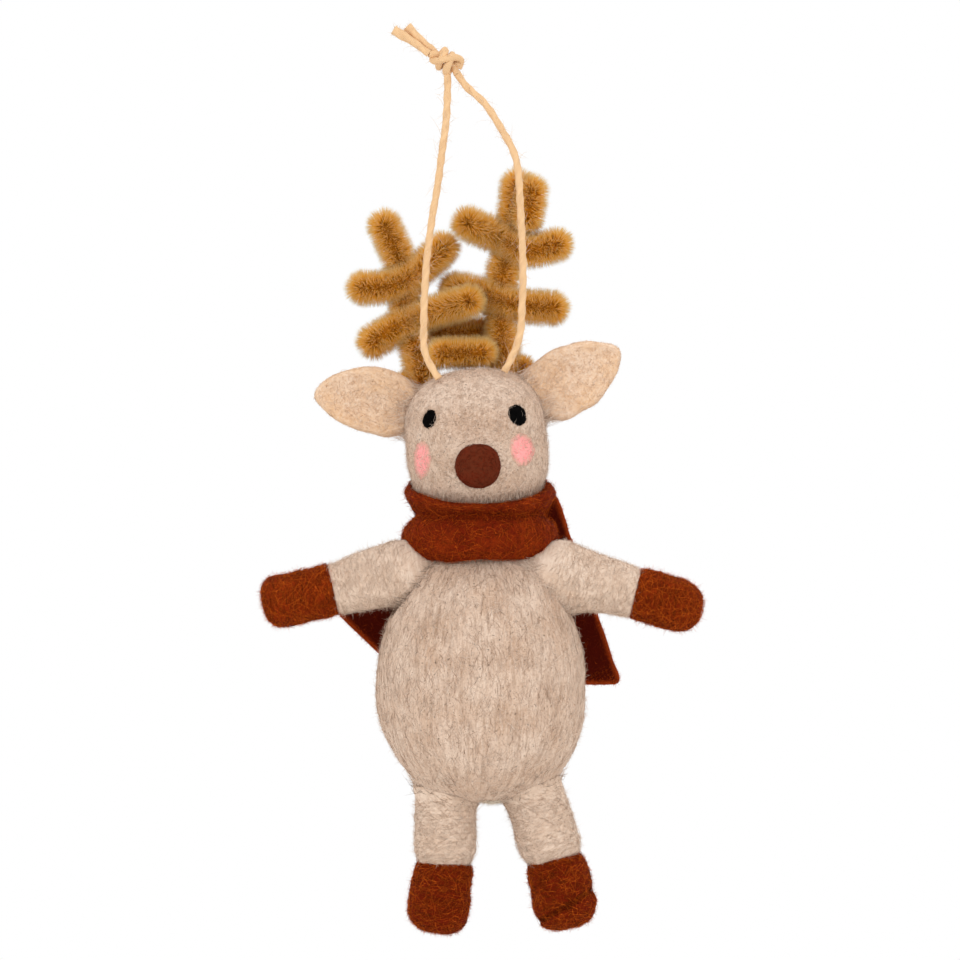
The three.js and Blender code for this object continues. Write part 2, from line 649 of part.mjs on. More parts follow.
function shoulderWire(grow) {
  const direction = arms.right.pivot.clone().sub(arms.left.pivot).normalize();
  const length = arms.left.pivot.distanceTo(arms.right.pivot);
  return wire(arms.left.pivot, direction, 0, length, grow);
}

function neckWire(grow) {
  const bottom = shoulderZ + 2 * WIRE_RADIUS + GAP - grow;
  return uprightRod(neckHinge.pivot.x, SCARF_Y, WIRE_RADIUS + grow, bottom, wireTop + grow);
}

function hipWire(grow) {
  const rise = new THREE.Vector3(0, 0, HIP_WIRE_RISE);
  const points = [
    legs.left.pivot,
    legs.left.pivot.clone().add(rise),
    legs.right.pivot.clone().add(rise),
    legs.right.pivot,
  ];
  return tube(points, WIRE_RADIUS + grow, TUBE_SIDES, 16);
}

const torsoWires = shoulderWire(GAP).add(neckWire(GAP)).add(hipWire(GAP));
const torsoShell = torsoForm(0, 28, 20)
  .add(neck)
  .subtract(torsoForm(-TORSO_WALL, 24, 16))
  .subtract(corePlug(GAP))
  .subtract(limbSpace)
  .subtract(torsoWires);
const torsoCore = torsoForm(-TORSO_WALL - GAP, 24, 16)
  .add(corePlug(0))
  .subtract(limbSpace)
  .subtract(torsoWires);

// Scarf: the wound strip, shaped by the head above and the shoulders below
function scarfRing() {
  const bore = NECK_RADIUS + GAP;
  const middle = (SCARF_BULGE_RADIUS + SCARF_HEM_RADIUS) / 2 + 1;
  const profile = [
    [bore, SCARF_HEM_Z], [SCARF_HEM_RADIUS, SCARF_HEM_Z],
    [middle, (SCARF_HEM_Z + SCARF_BULGE_Z) / 2], [SCARF_BULGE_RADIUS, SCARF_BULGE_Z],
    [middle, (SCARF_BULGE_Z + SCARF_PINCH_Z) / 2], [SCARF_PINCH_RADIUS, SCARF_PINCH_Z],
    [middle, (SCARF_PINCH_Z + SCARF_TOP_Z) / 2], [SCARF_TOP_RADIUS, SCARF_TOP_Z],
    [bore, SCARF_TOP_Z], [bore, SCARF_HEM_Z],
  ];
  const points = profile.map(([radius, height]) => new THREE.Vector2(radius, height));
  const geometry = new THREE.LatheGeometry(points, 28).rotateX(Math.PI / 2);
  const place = geometry.attributes.position;
  for (let i = 0; i < place.count; i += 1) {
    const share = Math.max(0, (place.getZ(i) - SCARF_PINCH_Z) / (SCARF_TOP_Z - SCARF_PINCH_Z));
    place.setZ(i, place.getZ(i) + SCARF_BACK_RISE * share * place.getY(i));
  }
  geometry.translate(neckHinge.pivot.x, SCARF_Y, 0);
  return solidOf(geometry);
}

const headSpace = swept(headForm(2 * SWING_GAP), neckHinge, -NECK_TURN, NECK_TURN, 2);
const scarfWrap = scarfRing()
  .subtract(torsoForm(GAP, 28, 20))
  .subtract(headSpace)
  .subtract(limbSpace);

// A scarf tail hangs from a rounded root, a little away from the wound strip and the back
const tailRootY = SCARF_Y + SCARF_BULGE_RADIUS + GAP + STRIP_THICKNESS / 2;

function tailFrame({ root, slant }) {
  const pivot = new THREE.Vector3(root[0], tailRootY, root[1]);
  const down = new THREE.Vector3(Math.sin(radians(slant)), 0, -Math.cos(radians(slant)));
  const back = new THREE.Vector3(0, 1, 0);
  const axis = new THREE.Vector3().crossVectors(down, back);
  return { pivot, down, back, axis };
}

function scarfTail(spec) {
  const half = STRIP_THICKNESS / 2;
  const shape = new THREE.Shape();
  shape.absarc(0, 0, half, Math.PI / 2, 3 * Math.PI / 2, false);
  shape.quadraticCurveTo(spec.length / 2, TAIL_SAG - half, spec.length, -half);
  shape.lineTo(spec.length, half);
  shape.quadraticCurveTo(spec.length / 2, TAIL_SAG + half, 0, half);
  const geometry = new THREE.ExtrudeGeometry(shape, { depth: STRIP_WIDTH, bevelEnabled: false, curveSegments: 6 });
  geometry.translate(0, 0, -STRIP_WIDTH / 2);
  const { pivot, down, back, axis } = tailFrame(spec);
  const place = new THREE.Matrix4().makeBasis(down, back, axis).setPosition(pivot);
  return moved(solidOf(geometry), place);
}

// Head shell and core, with room for what turns on the head
// The lowest stretch of a rod with a rounded foot
function rodFoot(start, next, radius) {
  const foot = new THREE.Matrix4().makeTranslation(...start.toArray());
  return tube([start, next], radius, TUBE_SIDES, 1).add(moved(ball(radius, TUBE_SIDES, 6), foot));
}

function beamFoot(base, offsets) {
  return rodFoot(base, base.clone().add(vector(offsets[1])), STEM_RADIUS + 2 * SWING_GAP);
}

const antlerRoots = [
  beamFoot(leftBase, LEFT_BEAM), beamFoot(rightBase, RIGHT_BEAM),
  stub(leftBase, -1, SWING_GAP), stub(rightBase, 1, SWING_GAP),
];
const antlerSpaces = antlerRoots.map((root) => swept(root, antlerHinge, -ANTLER_BACK, 0, 2));

function strandFoot([first, second]) {
  return rodFoot(vector(first), vector(second), TWINE_RADIUS + SWING_GAP);
}

const strandSpaces = [LEFT_STRAND, RIGHT_STRAND].map(
  (strand) => swept(strandFoot(strand), hangerHinge, 0, HANGER_FLOP, 4));
const earSpace = earRoot(leftEarHinge, SWING_GAP).add(earRoot(rightEarHinge, SWING_GAP));
const pocketSpace = Object.values(facePatches).reduce((all, form) => all.add(form(GAP)), noseForm(GAP));
const headPockets = [
  ...antlerSpaces, ...strandSpaces, earSpace, pocketSpace, twine(STITCH, GAP, 10), neckWire(GAP),
].reduce((all, space) => all.add(space));
const coreMouth = uprightRod(
  neckHinge.pivot.x, SCARF_Y, NECK_RADIUS / 2, neckHinge.pivot.z - GAP, HEAD_CENTRE.z);
const headShell = headForm(0)
  .subtract(headEgg(-HEAD_WALL, 20, 14))
  .subtract(coreMouth)
  .subtract(headPockets);
const headCore = headEgg(-HEAD_WALL - GAP, 20, 14).subtract(headPockets);

// Felts, yarns and wire
const felt = (colour) => ({ color: colour, roughness: 0.95, metalness: 0 });
const GREIGE_WOOL = felt(0xcfbba6);
const PALE_CORE = felt(0xefe6d6);
const EAR_FELT = felt(0xd8bf9e);
const RUST_FELT = felt(0x8a3c12);
const CHENILLE = felt(0xa67a38);
const JUTE = felt(0xdcb683);
const DARK_FELT = felt(0x16181a);
const CHEEK_FELT = felt(0xf2a6a2);
const NOSE_FELT = felt(0x5b2a18);
const STEEL_WIRE = { color: 0x8c8f92, roughness: 0.4, metalness: 0.9 };

const ornament = new THREE.Group();

function addPart(group, name, solid, finish) {
  const mesh = new THREE.Mesh(geometryOf(solid), new THREE.MeshStandardMaterial(finish));
  mesh.name = name;
  group.add(mesh);
}

function addGroup() {
  const group = new THREE.Group();
  ornament.add(group);
  return group;
}

const hanger = addGroup();
addPart(hanger, 'hanger_strand_left', leftStrand, JUTE);
addPart(hanger, 'hanger_strand_right', rightStrand, JUTE);
addPart(hanger, 'hanger_knot', knot(), JUTE);
addPart(hanger, 'hanger_tail_upper', twine(UPPER_TAIL, 0, 4), JUTE);
addPart(hanger, 'hanger_tail_lower', twine(LOWER_TAIL, 0, 4), JUTE);

const head = addGroup();
addPart(head, 'head_shell', headShell, GREIGE_WOOL);
addPart(head, 'head_core', headCore, PALE_CORE);
addPart(head, 'hanger_stitch', stitch, JUTE);
addPart(head, 'nose', noseForm(0), NOSE_FELT);
for (const [name, form] of Object.entries(facePatches)) {
  addPart(head, name, form(0), name.startsWith('eye') ? DARK_FELT : CHEEK_FELT);
}
addPart(head, 'ear_left', ear(-1, leftEarHinge, LEFT_EAR_RISE), EAR_FELT);
addPart(head, 'ear_right', ear(1, rightEarHinge, RIGHT_EAR_RISE), EAR_FELT);

const antlers = addGroup();
addPart(antlers, 'antler_beam_left', leftBeam, CHENILLE);
addPart(antlers, 'antler_beam_right', rightBeam, CHENILLE);
for (const [name, solid] of Object.entries({ ...crossStems, ...stubs })) {
  addPart(antlers, name, solid, CHENILLE);
}
addPart(antlers, 'antler_bridge_front', frontBridge, CHENILLE);
addPart(antlers, 'antler_bridge_back', backBridge, CHENILLE);

const torso = addGroup();
addPart(torso, 'torso_shell', torsoShell, GREIGE_WOOL);
addPart(torso, 'torso_core', torsoCore, PALE_CORE);
addPart(torso, 'neck_wire', neckWire(0), STEEL_WIRE);
addPart(torso, 'shoulder_wire', shoulderWire(0).subtract(limbSpace), STEEL_WIRE);
addPart(torso, 'hip_wire', hipWire(0).subtract(limbSpace), STEEL_WIRE);
addPart(torso, 'scarf_wrap', scarfWrap, RUST_FELT);
addPart(torso, 'scarf_tail_left', scarfTail(LEFT_TAIL), RUST_FELT);
addPart(torso, 'scarf_tail_right', scarfTail(RIGHT_TAIL), RUST_FELT);

const limbs = addGroup();
for (const [side, limb] of Object.entries(arms)) {
  addPart(limbs, `arm_wrap_${side}`, limb.wrap, GREIGE_WOOL);
  addPart(limbs, `arm_wire_${side}`, limb.wire, STEEL_WIRE);
  addPart(limbs, `mitt_${side}`, limb.mitt, RUST_FELT);
}
for (const [side, limb] of Object.entries(legs)) {
  addPart(limbs, `leg_wrap_${side}`, limb.wrap, GREIGE_WOOL);
  addPart(limbs, `leg_wire_${side}`, limb.wire, STEEL_WIRE);
  addPart(limbs, `boot_${side}`, limb.boot, RUST_FELT);
}

export default ornament;
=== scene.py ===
"""Felted wool reindeer ornament on a twine loop: the wool, felt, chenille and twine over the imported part.

Lengths are in millimetres, in the part's frame, until a mesh is made.
Left and right are as seen from the front.
"""

import math

import bpy
import numpy as np
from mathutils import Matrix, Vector
from mathutils.bvhtree import BVHTree


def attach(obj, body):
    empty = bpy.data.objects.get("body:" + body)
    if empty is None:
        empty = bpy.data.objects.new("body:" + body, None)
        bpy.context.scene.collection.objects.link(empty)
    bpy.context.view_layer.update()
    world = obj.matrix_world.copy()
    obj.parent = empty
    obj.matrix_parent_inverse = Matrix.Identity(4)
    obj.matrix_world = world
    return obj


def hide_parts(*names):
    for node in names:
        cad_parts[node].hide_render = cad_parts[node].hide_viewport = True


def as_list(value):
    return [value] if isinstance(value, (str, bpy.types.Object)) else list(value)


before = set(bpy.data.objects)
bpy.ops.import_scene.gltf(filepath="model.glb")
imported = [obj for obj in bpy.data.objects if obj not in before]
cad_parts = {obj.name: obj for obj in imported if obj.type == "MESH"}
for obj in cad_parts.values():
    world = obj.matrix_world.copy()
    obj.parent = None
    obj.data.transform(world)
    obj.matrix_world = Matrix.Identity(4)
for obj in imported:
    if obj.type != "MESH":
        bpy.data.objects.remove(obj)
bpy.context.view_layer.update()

bl_info = {
    "name": "Felted reindeer ornament",
    "version": (1, 0, 0),
    "blender": (4, 5, 0),
    "location": "View3D > Sidebar > Ornament",
    "description": "Builds the wool, felt, chenille and twine of a hanging reindeer ornament",
    "category": "Add Mesh",
}

MM = 0.001
FULL_TURN = 2 * math.pi

# Stage, in metres: where each lamp stands, how wide it is and how many watts it gives
CAMERA_PLACE = (0.0056, -1.6, -0.08)
CAMERA_LENS = 300
LAMP_TARGET = (0, 0, -0.1)
LAMPS = {
    "key": ((-0.7, -0.9, 0.35), 0.7, 3.4),
    "fill": ((0.8, -0.9, 0.05), 0.8, 2.9),
    "top": ((0.1, 0.1, 0.8), 0.8, 1.4),
    "back": ((0.3, 0.9, 0.3), 0.7, 2.0),
}
FLOOR_PLACE = (0.005, 0, -0.204)
FLOOR_RADIUS = 0.34
FLOOR_DEPTH = 0.008
FLOOR_BEVEL = 0.003

# Twine hanger: the routes of the part's cords, from the head up to the knot
LEFT_STRAND = [
    (-2.6, -6.8, -59.8), (-4, -6.5, -57.6), (-5.4, -6, -54.4), (-5.6, -5.2, -48.2), (-5.4, -4.4, -42.2),
    (-5, -3.6, -36), (-4, -2.8, -28), (-3, -2.1, -22), (-2, -1.4, -14.6), (-1.2, -0.8, -8.4),
    (-0.9, -0.2, -2.4), (-0.9, 0, 1.2),
]
RIGHT_STRAND = [
    (10.4, -5.2, -58.4), (12, -5.1, -55.4), (13.6, -4.8, -50.8), (14, -4.4, -45.2), (14.2, -3.8, -39),
    (14, -3.1, -31.8), (13.6, -2.4, -24.4), (13.2, -1.8, -18.2), (12.4, -1.4, -14.6), (10.2, -1, -10.4),
    (6.6, -0.5, -4.8), (2.8, -0.1, -1.2), (1.1, 0, 1.2),
]
UPPER_TAIL = [(-4, 0.6, 6.1), (-6.6, 0.6, 8.3), (-9, 0.7, 10.7)]
LOWER_TAIL = [(-4.6, -0.6, 5.2), (-8, -0.7, 7.7), (-11.7, -0.7, 10)]
STITCH = [(-2.6, -6, -62), (-1, -4, -66), (4, -3.4, -67), (9, -3.6, -65), (10.4, -4.6, -60.8)]
KNOT_CENTRE = np.array([-1.1, 0, 3.7])
KNOT_LEAN = math.radians(36)
KNOT_TURNS = 2.25
PLY_PITCH = 6.4
TWINE_SIDES = 20
TWINE_STEP = 0.25
TAIL_FRAY = 0.45
FRAYED_LENGTH = 5

# Head
HEAD_CENTRE = np.array([4.8, 1.5, -71.6])
HEAD_HALF = np.array([14.1, 14.0, 13.6])
HEAD_SQUARENESS = 2.5
CHIN_HALF = 15.6
CROWN_POWER = 2.5
JAW_POWER = 2.8
HEAD_ROLL = math.radians(4.6)
HEAD_TURN = np.array([
    [math.cos(HEAD_ROLL), 0, -math.sin(HEAD_ROLL)], [0, 1, 0], [math.sin(HEAD_ROLL), 0, math.cos(HEAD_ROLL)]
])
HEAD_WALL = 4.5
HEAD_CORE_REACH = 9
MUZZLE_CENTRE = np.array([0, -5.8, -5.0])
MUZZLE_HALF = np.array([11.5, 11.0, 10.4])
MUZZLE_BLEND = 2
NOSE_CENTRE = np.array([0, -16.0, -5.6])
NOSE_HALF = np.array([4.4, 3.5, 4.4])
# Patches of the face: their middle across and up, half their size, and how far they lean in degrees
EYES = {"eye_left": ((-8.9, 4.4), (1.25, 1.9), 24), "eye_right": ((8.5, 3.8), (1.7, 2.15), -24)}
CHEEKS = {"cheek_left": ((-11.0, -3.5), (1.8, 3.7), 6), "cheek_right": ((8.9, -3.1), (2.5, 3.4), -4)}
EYE_LIFT = 0.55
CHEEK_LIFT = 0.1
PATCH_DEPTH = 0.5
# Clear of the face, in front of it
FACE_FRONT = -40
# Where the eyes and nose go: across, up, and half the width and height that hairs keep clear of
BARE_SPOTS = ((-8.9, 4.4, 1.3, 1.8), (8.5, 3.8, 1.6, 2), (0, -5.6, 3.6, 3.6))

# Ears: the hinge line sits on the side of the head
EAR_LENGTH = 19.1
EAR_WIDTH = 14.5
EAR_THICKNESS = 3.0
EAR_ROOT_RADIUS = 1.6
EAR_SETBACK = 1.5
EAR_EDGE = 1.5
EAR_BLEND = 5
# high scales the width of the upper half, low_root and low_tip that of the lower half
EARS = {
    "left": {"side": -1, "height": 7.1, "rise": 12, "high": 1.0, "low_root": 1.0, "low_tip": 0.7},
    "right": {"side": 1, "height": 8.4, "rise": 21, "high": 0.82, "low_root": 1.22, "low_tip": 1.0},
}

# Antlers: offsets of the beams from their bases, and the stems wound across them
STEM_RADIUS = 3.3
BRIDGE_RADIUS = 3.1
STUB_RADIUS = 2.3
STEM_STEP = 0.3
# The wires of a stem turn once in this length
WIRE_PITCH = 2.6
# A real stem has hundreds of hairs to a square millimetre, drawn here as 15 thick ones
PILE_DENSITY = 15
LEFT_BASE = np.array([-5.941, 8, -62.788])
RIGHT_BASE = np.array([10.651, 8, -59.536])
LEFT_BEAM = [(0, 0, 0), (-0.9, 1.5, 7.6), (-3.5, 2, 16.8), (-3.3, 2, 23), (-4.5, 2, 26.6), (-8.9, 1, 36.8)]
RIGHT_BEAM = [(0, 0, 0), (-0.4, 1.5, 5.9), (-1, 2, 15.7), (-0.4, 2, 21.5), (1, 2, 27), (2.8, 1, 42)]
# The right beam's end is folded back down beside it
RIGHT_FOLD = [(4.9, 0.6, 41), (5.1, 0.2, 37), (3.6, 0.4, 29)]
IN_FRONT = (1.6, 0.8)
ROUND_THE_SIDE = (4.2, 0.4)
WRAP_DEPTH = 1.4
CROSS_STEMS = {
    "antler_upper_left": ("left", 22.6, IN_FRONT, (-12, -0.5, -1.2), (9.6, 2.6, 9)),
    "antler_lower_left": ("left", 13.8, IN_FRONT, (-9.8, -0.6, -5), (14.8, -7.6, 5.6)),
    "antler_upper_right": ("right", 26.5, IN_FRONT, (12.6, -0.5, 1.2), (-11, -5.8, 5.6)),
    "antler_lower_right": ("right", 15.5, ROUND_THE_SIDE, (13.8, -0.5, -1.4), (-11.6, 4.4, 3)),
}
BRIDGES = {"antler_bridge_front": (8.2, -5), "antler_bridge_back": (12.4, 4)}

# Torso
TORSO_CENTRE = np.array([5.6, -1.5, -122.0])
TORSO_HALF_WIDTH = 20.9
TORSO_HALF_DEPTH = 17.8
TORSO_TOP = 30.0
TORSO_BOTTOM = 22.0
TORSO_TOP_POWER = 2.0
TORSO_BOTTOM_POWER = 2.4
TORSO_WALL = 5.0
CORE_PLUG_CENTRE = (7.6, -1.5)
CORE_PLUG_RADIUS = 4.2
NECK_CENTRE = (4.8, 0.0)
NECK_RADIUS = 7.5
NECK_TOP = -86.4
# The scarf hides the torso above this height, and a band of painted shade lies under its edge about the next
# one
COVERED_HEIGHT = -93
SCARF_SHADE_HEIGHT = -97.4

# Limbs: ball, taper and end of each, how far it turns, and how wide an arm's wool blends into the torso
SWING_GAP = 0.4
ARM_ROOT = 6.6
ARM_INNER = 8.4
ARM_WRIST = 4.9
MITT_RADIUS = 5.2
ARMS = {
    "left": {
        "side": -1, "pivot": (-10.8, -3, -98.6), "slope": 13.6, "cuff": 13.6, "length": 27.6,
        "blend": 0.8, "squareness": 3.4,
    },
    "right": {
        "side": 1, "pivot": (22, -3, -98.8), "slope": 14.9, "cuff": 15.4, "length": 28.8,
        "blend": 6.0, "squareness": 2.3,
    },
}
CUFF_OVERLAP = 0.5
ARM_RAISE = 45
ARM_LOWER = 30
LEG_RADIUS = 6.0
LEG_END = 5.1
LEG_BLEND = 3.0
BOOT_RADIUS = 6.1
BOOT_MOUTH = 5.3
BOOT_RISE = 0.7
BOOT_SQUARENESS = 2.9
BOOT_LENGTH = 13.6
LEGS = {
    "left": {"side": -1, "hip": (-1.4, -1.5, -143.4), "slant": 0, "boot_slant": 8, "ankle": 13.6},
    "right": {"side": 1, "hip": (16.4, -1.5, -143), "slant": 18, "boot_slant": 11, "ankle": 13.9},
}
LEG_FORWARD = 35
LEG_BACK = 25
SWING_STEPS = 6

# Scarf: the outer line of the wound strip from its hem up, and its two tails
SCARF_LINE = [
    (12.4, -96.2), (15.1, -93.6), (15.5, -91), (14.6, -88.6), (12.9, -87), (14.2, -84.8), (15.4, -82.2)
]
SCARF_TOP = SCARF_LINE[-1][1]
# The fold between the scarf's two rolls, and the height of the upper one
SCARF_FOLD = -87
SCARF_UPPER_ROLL = 4.8
SCARF_CENTRE = (5.5, 0.0)
NECK_TURN = 10
SCARF_BACK_RISE = 0.22
SCARF_GIRTH_RADIUS = 14.3
SCARF_HIDDEN_RADIUS = 11.6
STRIP_WIDTH = 14.0
TAIL_ROOT_Y = 17.1
TAIL_TUCK = 1.9
TUCK_LENGTH = 12
# How far in from the tails' cut edges their painted rim light reaches
TAIL_RIM_LIGHT_WIDTH = 2.6
TAILS = {
    "left": {"root": (3.4, -88.6), "slant": -44, "length": 31.8, "skew": 0.0},
    "right": {"root": (14.4, -84.7), "slant": 19, "length": 38.8, "skew": 0.34},
}


def linear(code):
    """A colour written as an sRGB hex code, in the linear values that shaders take."""
    parts = [int(code[i:i + 2], 16) / 255 for i in (1, 3, 5)]
    return tuple(part / 12.92 if part <= 0.04045 else ((part + 0.055) / 1.055) ** 2.4 for part in parts)


def colour(name, about, code):
    """A colour that the user may change."""
    return bpy.props.FloatVectorProperty(
        name=name, description=about, subtype="COLOR", size=3, min=0, max=1, default=linear(code)
    )


def length(name, about, size):
    """A length that the user may change, given in millimetres."""
    return bpy.props.FloatProperty(
        name=name, description=about, unit="LENGTH", min=0, precision=5, default=size * MM
    )


class OrnamentColours(bpy.types.PropertyGroup):
    """Colours of the yarns and felts."""

    wool: colour("Wool", "Greige wool of the head, body and limbs", "#c6a78f")
    roving: colour("Wound wool", "Greige wool wound round the limbs", "#d5bba5")
    wool_light: colour("Wool, light", "Bleached fibres in the greige wool", "#ecd9c8")
    wool_dark: colour("Wool, dark", "Brown fibres in the greige wool", "#8e6e57")
    fleck: colour("Fleck", "Dark flecks carded into the greige wool", "#4a372c")
    core: colour("Core", "Unbleached wool inside the body", "#efe6d6")
    ear: colour("Ear felt", "Pressed felt of the ears", "#e0ba94")
    ear_dark: colour("Ear felt, dark", "Darker fibres in the ear felt", "#cda27c")
    rust: colour("Rust wool", "Mittens and boots", "#702004")
    rust_light: colour("Rust wool, light", "Bright fibres in the rust wool", "#d8661c")
    rust_middle: colour("Rust wool, middle", "Locks between the bright and the deep ones", "#98380b")
    rust_dark: colour("Rust wool, dark", "Deep fibres in the rust wool", "#430c01")
    scarf: colour("Scarf felt", "Felt of the scarf", "#661804")
    scarf_light: colour("Scarf felt, light", "Bright fibres in the scarf felt", "#cf5d19")
    scarf_dark: colour("Scarf felt, dark", "Deep fibres in the scarf felt", "#450c03")
    # The pile's tips and roots: painted light through the tips and painted shade deep in the pile, about the
    # pile's own colour
    pile_tip_light: colour("Pile tips", "Tips of the chenille pile", "#fddc9e")
    pile_middle: colour("Pile", "Middle of the chenille pile", "#f4ac2e")
    pile_root_shade: colour("Pile roots", "Roots of the chenille pile", "#b66f0e")
    jute: colour("Jute", "Twine of the hanging loop", "#edc697")
    # Jute, dark also paints the shade in the twine's furrows, beside its darker strands
    jute_dark: colour("Jute, dark", "Furrows of the twine", "#d9b083")
    black: colour("Black wool", "Eyes", "#070606")
    pink: colour("Pink wool", "Cheeks", "#fba5a2")
    nose: colour("Nose felt", "Nose", "#5b2a18")


class OrnamentSizes(bpy.types.PropertyGroup):
    """Sizes of the yarns and of the fuzz."""

    twine_radius: length("Twine radius", "Half the thickness of the twine", 0.75)
    hair: length("Wool hair", "Thickness of a drawn wool hair", 0.1)
    fuzz: length("Fuzz", "How far loose wool hairs stand off the felt", 1.5)
    lump: length("Lumps", "Height of the unevenness of the felted wool", 0.4)
    strip: length("Scarf felt", "Thickness of the scarf's felt strip", 2.4)
    pile_hair: length("Pile hair", "Thickness of a drawn pile hair at its root", 0.15)


def millimetres(name):
    """One of the user's lengths, in millimetres."""
    return getattr(bpy.context.scene.ornament_sizes, name) / MM


def shade(name):
    """One of the user's colours, as a shader takes it."""
    return (*getattr(bpy.context.scene.ornament_colours, name), 1)


def unit(vectors):
    """Vectors brought to length 1."""
    return vectors / np.maximum(np.linalg.norm(vectors, axis=-1, keepdims=True), 1e-9)


def across_from(run, outward):
    """What is left of directions when the part along others is taken away."""
    return run - outward * (run * outward).sum(axis=1, keepdims=True)


def lumps(points, size, seed):
    """Smooth unevenness from -1 to 1, with bumps about that many millimetres across."""
    spot = points / size
    cell = np.floor(spot)
    part = spot - cell
    part = part * part * (3 - 2 * part)
    total = np.zeros(points.shape[:-1])
    for corner in np.ndindex(2, 2, 2):
        # Large odd factors mix the cell's place into a height that looks random
        x, y, z = np.moveaxis((cell + corner).astype(np.int64), -1, 0)
        code = x * 73856093 ^ y * 19349663 ^ z * 83492791 ^ seed * 40503
        code = (code ^ (code >> 13)) * 1274126177
        height = ((code ^ (code >> 16)) & 0xFFFF) / 65535
        total += height * np.prod(np.where(corner, part, 1 - part), axis=-1)
    return 2 * total - 1


def ripple(points, *layers):
    """Layers of unevenness, each given as (height, size, seed)."""
    return sum(height * lumps(points, size, seed) for height, size, seed in layers)


def walked_along(path):
    """The distance from the start of a line to each of its points."""
    return np.concatenate([[0], np.cumsum(np.linalg.norm(np.diff(path, axis=0), axis=1))])


def path_length(path):
    """The length of a line of points."""
    return float(np.linalg.norm(np.diff(path, axis=0), axis=1).sum())


def smooth_path(points, spacing):
    """A smooth line through the points, as the part's tubes follow it, with evenly spaced places on it."""
    stops = [np.array(point, float) for point in points]
    stops = [2 * stops[0] - stops[1], *stops, 2 * stops[-1] - stops[-2]]
    line = []
    share = np.linspace(0, 1, 40, endpoint=False)[:, None]
    square, cube = share ** 2, share ** 3
    for before, start, end, after in zip(stops, stops[1:], stops[2:], stops[3:]):
        gaps = [np.linalg.norm(b - a) ** 0.5 for a, b in ((before, start), (start, end), (end, after))]
        leave = (start - before) / gaps[0] - (end - before) / (gaps[0] + gaps[1]) + (end - start) / gaps[1]
        reach = (end - start) / gaps[1] - (after - start) / (gaps[1] + gaps[2]) + (after - end) / gaps[2]
        leave, reach = leave * gaps[1], reach * gaps[1]
        line.append(
            start * (2 * cube - 3 * square + 1) + leave * (cube - 2 * square + share)
            + end * (3 * square - 2 * cube) + reach * (cube - square)
        )
    line = np.concatenate([*line, stops[-2][None]])
    walked = walked_along(line)
    places = np.linspace(0, walked[-1], max(4, int(walked[-1] / spacing)))
    return np.stack([np.interp(places, walked, line[:, i]) for i in range(3)], axis=1)


def path_frames(path):
    """The direction of a line at each point, and two directions across it that don't twist along it."""
    ahead = unit(np.gradient(path, axis=0))
    start = np.array([0, 1, 0]) if abs(ahead[0][1]) < 0.9 else np.array([1, 0, 0])
    across = [unit(np.cross(ahead[0], start))]
    for way in ahead[1:]:
        across.append(unit(across[-1] - way * across[-1].dot(way)))
    across = np.array(across)
    return ahead, across, np.cross(ahead, across)


def link_mesh(name, points, corners, face_sizes):
    """A piece made of these points and faces, at the origin, with its place in its mesh."""
    mesh = bpy.data.meshes.new(name)
    mesh.vertices.add(len(points))
    mesh.vertices.foreach_set("co", (np.asarray(points) * MM).ravel())
    mesh.loops.add(len(corners))
    mesh.loops.foreach_set("vertex_index", np.asarray(corners, np.int32))
    mesh.polygons.add(len(face_sizes))
    starts = np.concatenate([[0], np.cumsum(face_sizes)[:-1]])
    mesh.polygons.foreach_set("loop_start", starts.astype(np.int32))
    mesh.polygons.foreach_set("use_smooth", np.ones(len(face_sizes), bool))
    mesh.update(calc_edges=True)
    piece = bpy.data.objects.new(name, mesh)
    bpy.context.scene.collection.objects.link(piece)
    return piece


def set_points(piece, points):
    """Moves the points of a piece, given in millimetres."""
    piece.data.vertices.foreach_set("co", (points * MM).ravel())
    piece.data.polygons.foreach_set("use_smooth", np.ones(len(piece.data.polygons), bool))
    piece.data.update()


def points_of(piece):
    """The points of a piece, in millimetres."""
    found = np.empty(len(piece.data.vertices) * 3, np.float32)
    piece.data.vertices.foreach_get("co", found)
    return found.reshape(-1, 3).astype(float) / MM


def added_piece(name, add, **sizes):
    """The piece that one of Blender's operators adds, with nothing else selected."""
    bpy.ops.object.select_all(action="DESELECT")
    add(**sizes)
    piece = bpy.context.object
    piece.name = piece.data.name = name
    return piece


def ball_start(name, columns, rows):
    """Adds a ball to be shaped. Returns it and the direction of each of its points."""
    piece = added_piece(
        name, bpy.ops.mesh.primitive_uv_sphere_add, segments=columns, ring_count=rows, radius=1
    )
    # Blender numbers the points of a ball differently in each run, so they are put in a fixed order
    spots = np.round(points_of(piece) * MM, 6)
    order = np.lexsort(spots.T)
    rank = np.argsort(order).tolist()
    faces = []
    for face in piece.data.polygons:
        corners = [rank[i] for i in face.vertices]
        first = corners.index(min(corners))
        faces.append(corners[first:] + corners[:first])
    piece.data.clear_geometry()
    piece.data.from_pydata(spots[order].tolist(), [], sorted(faces))
    return piece, unit(spots[order])


def turned_start(name, profile, pivot, direction, columns, rows):
    """Adds a ball and draws it out to a turned form. The profile is (radius, distance along) from end to
    end. Returns the piece, its points, its outward directions, and the distance along and angle of each."""
    piece, way = ball_start(name, columns, rows)
    line = np.array(profile, float)
    walked = walked_along(line)
    place = np.arccos(np.clip(-way[:, 2], -1, 1)) / math.pi * walked[-1]
    radius, along = (np.interp(place, walked, line[:, i]) for i in range(2))
    angle = np.arctan2(way[:, 1], way[:, 0])
    across = unit(np.cross(direction, (0, 1, 0) if abs(direction[1]) < 0.9 else (1, 0, 0)))
    third = np.cross(direction, across)
    outward = np.cos(angle)[:, None] * across + np.sin(angle)[:, None] * third
    points = np.array(pivot) + along[:, None] * direction + radius[:, None] * outward
    return piece, points, outward, along, angle


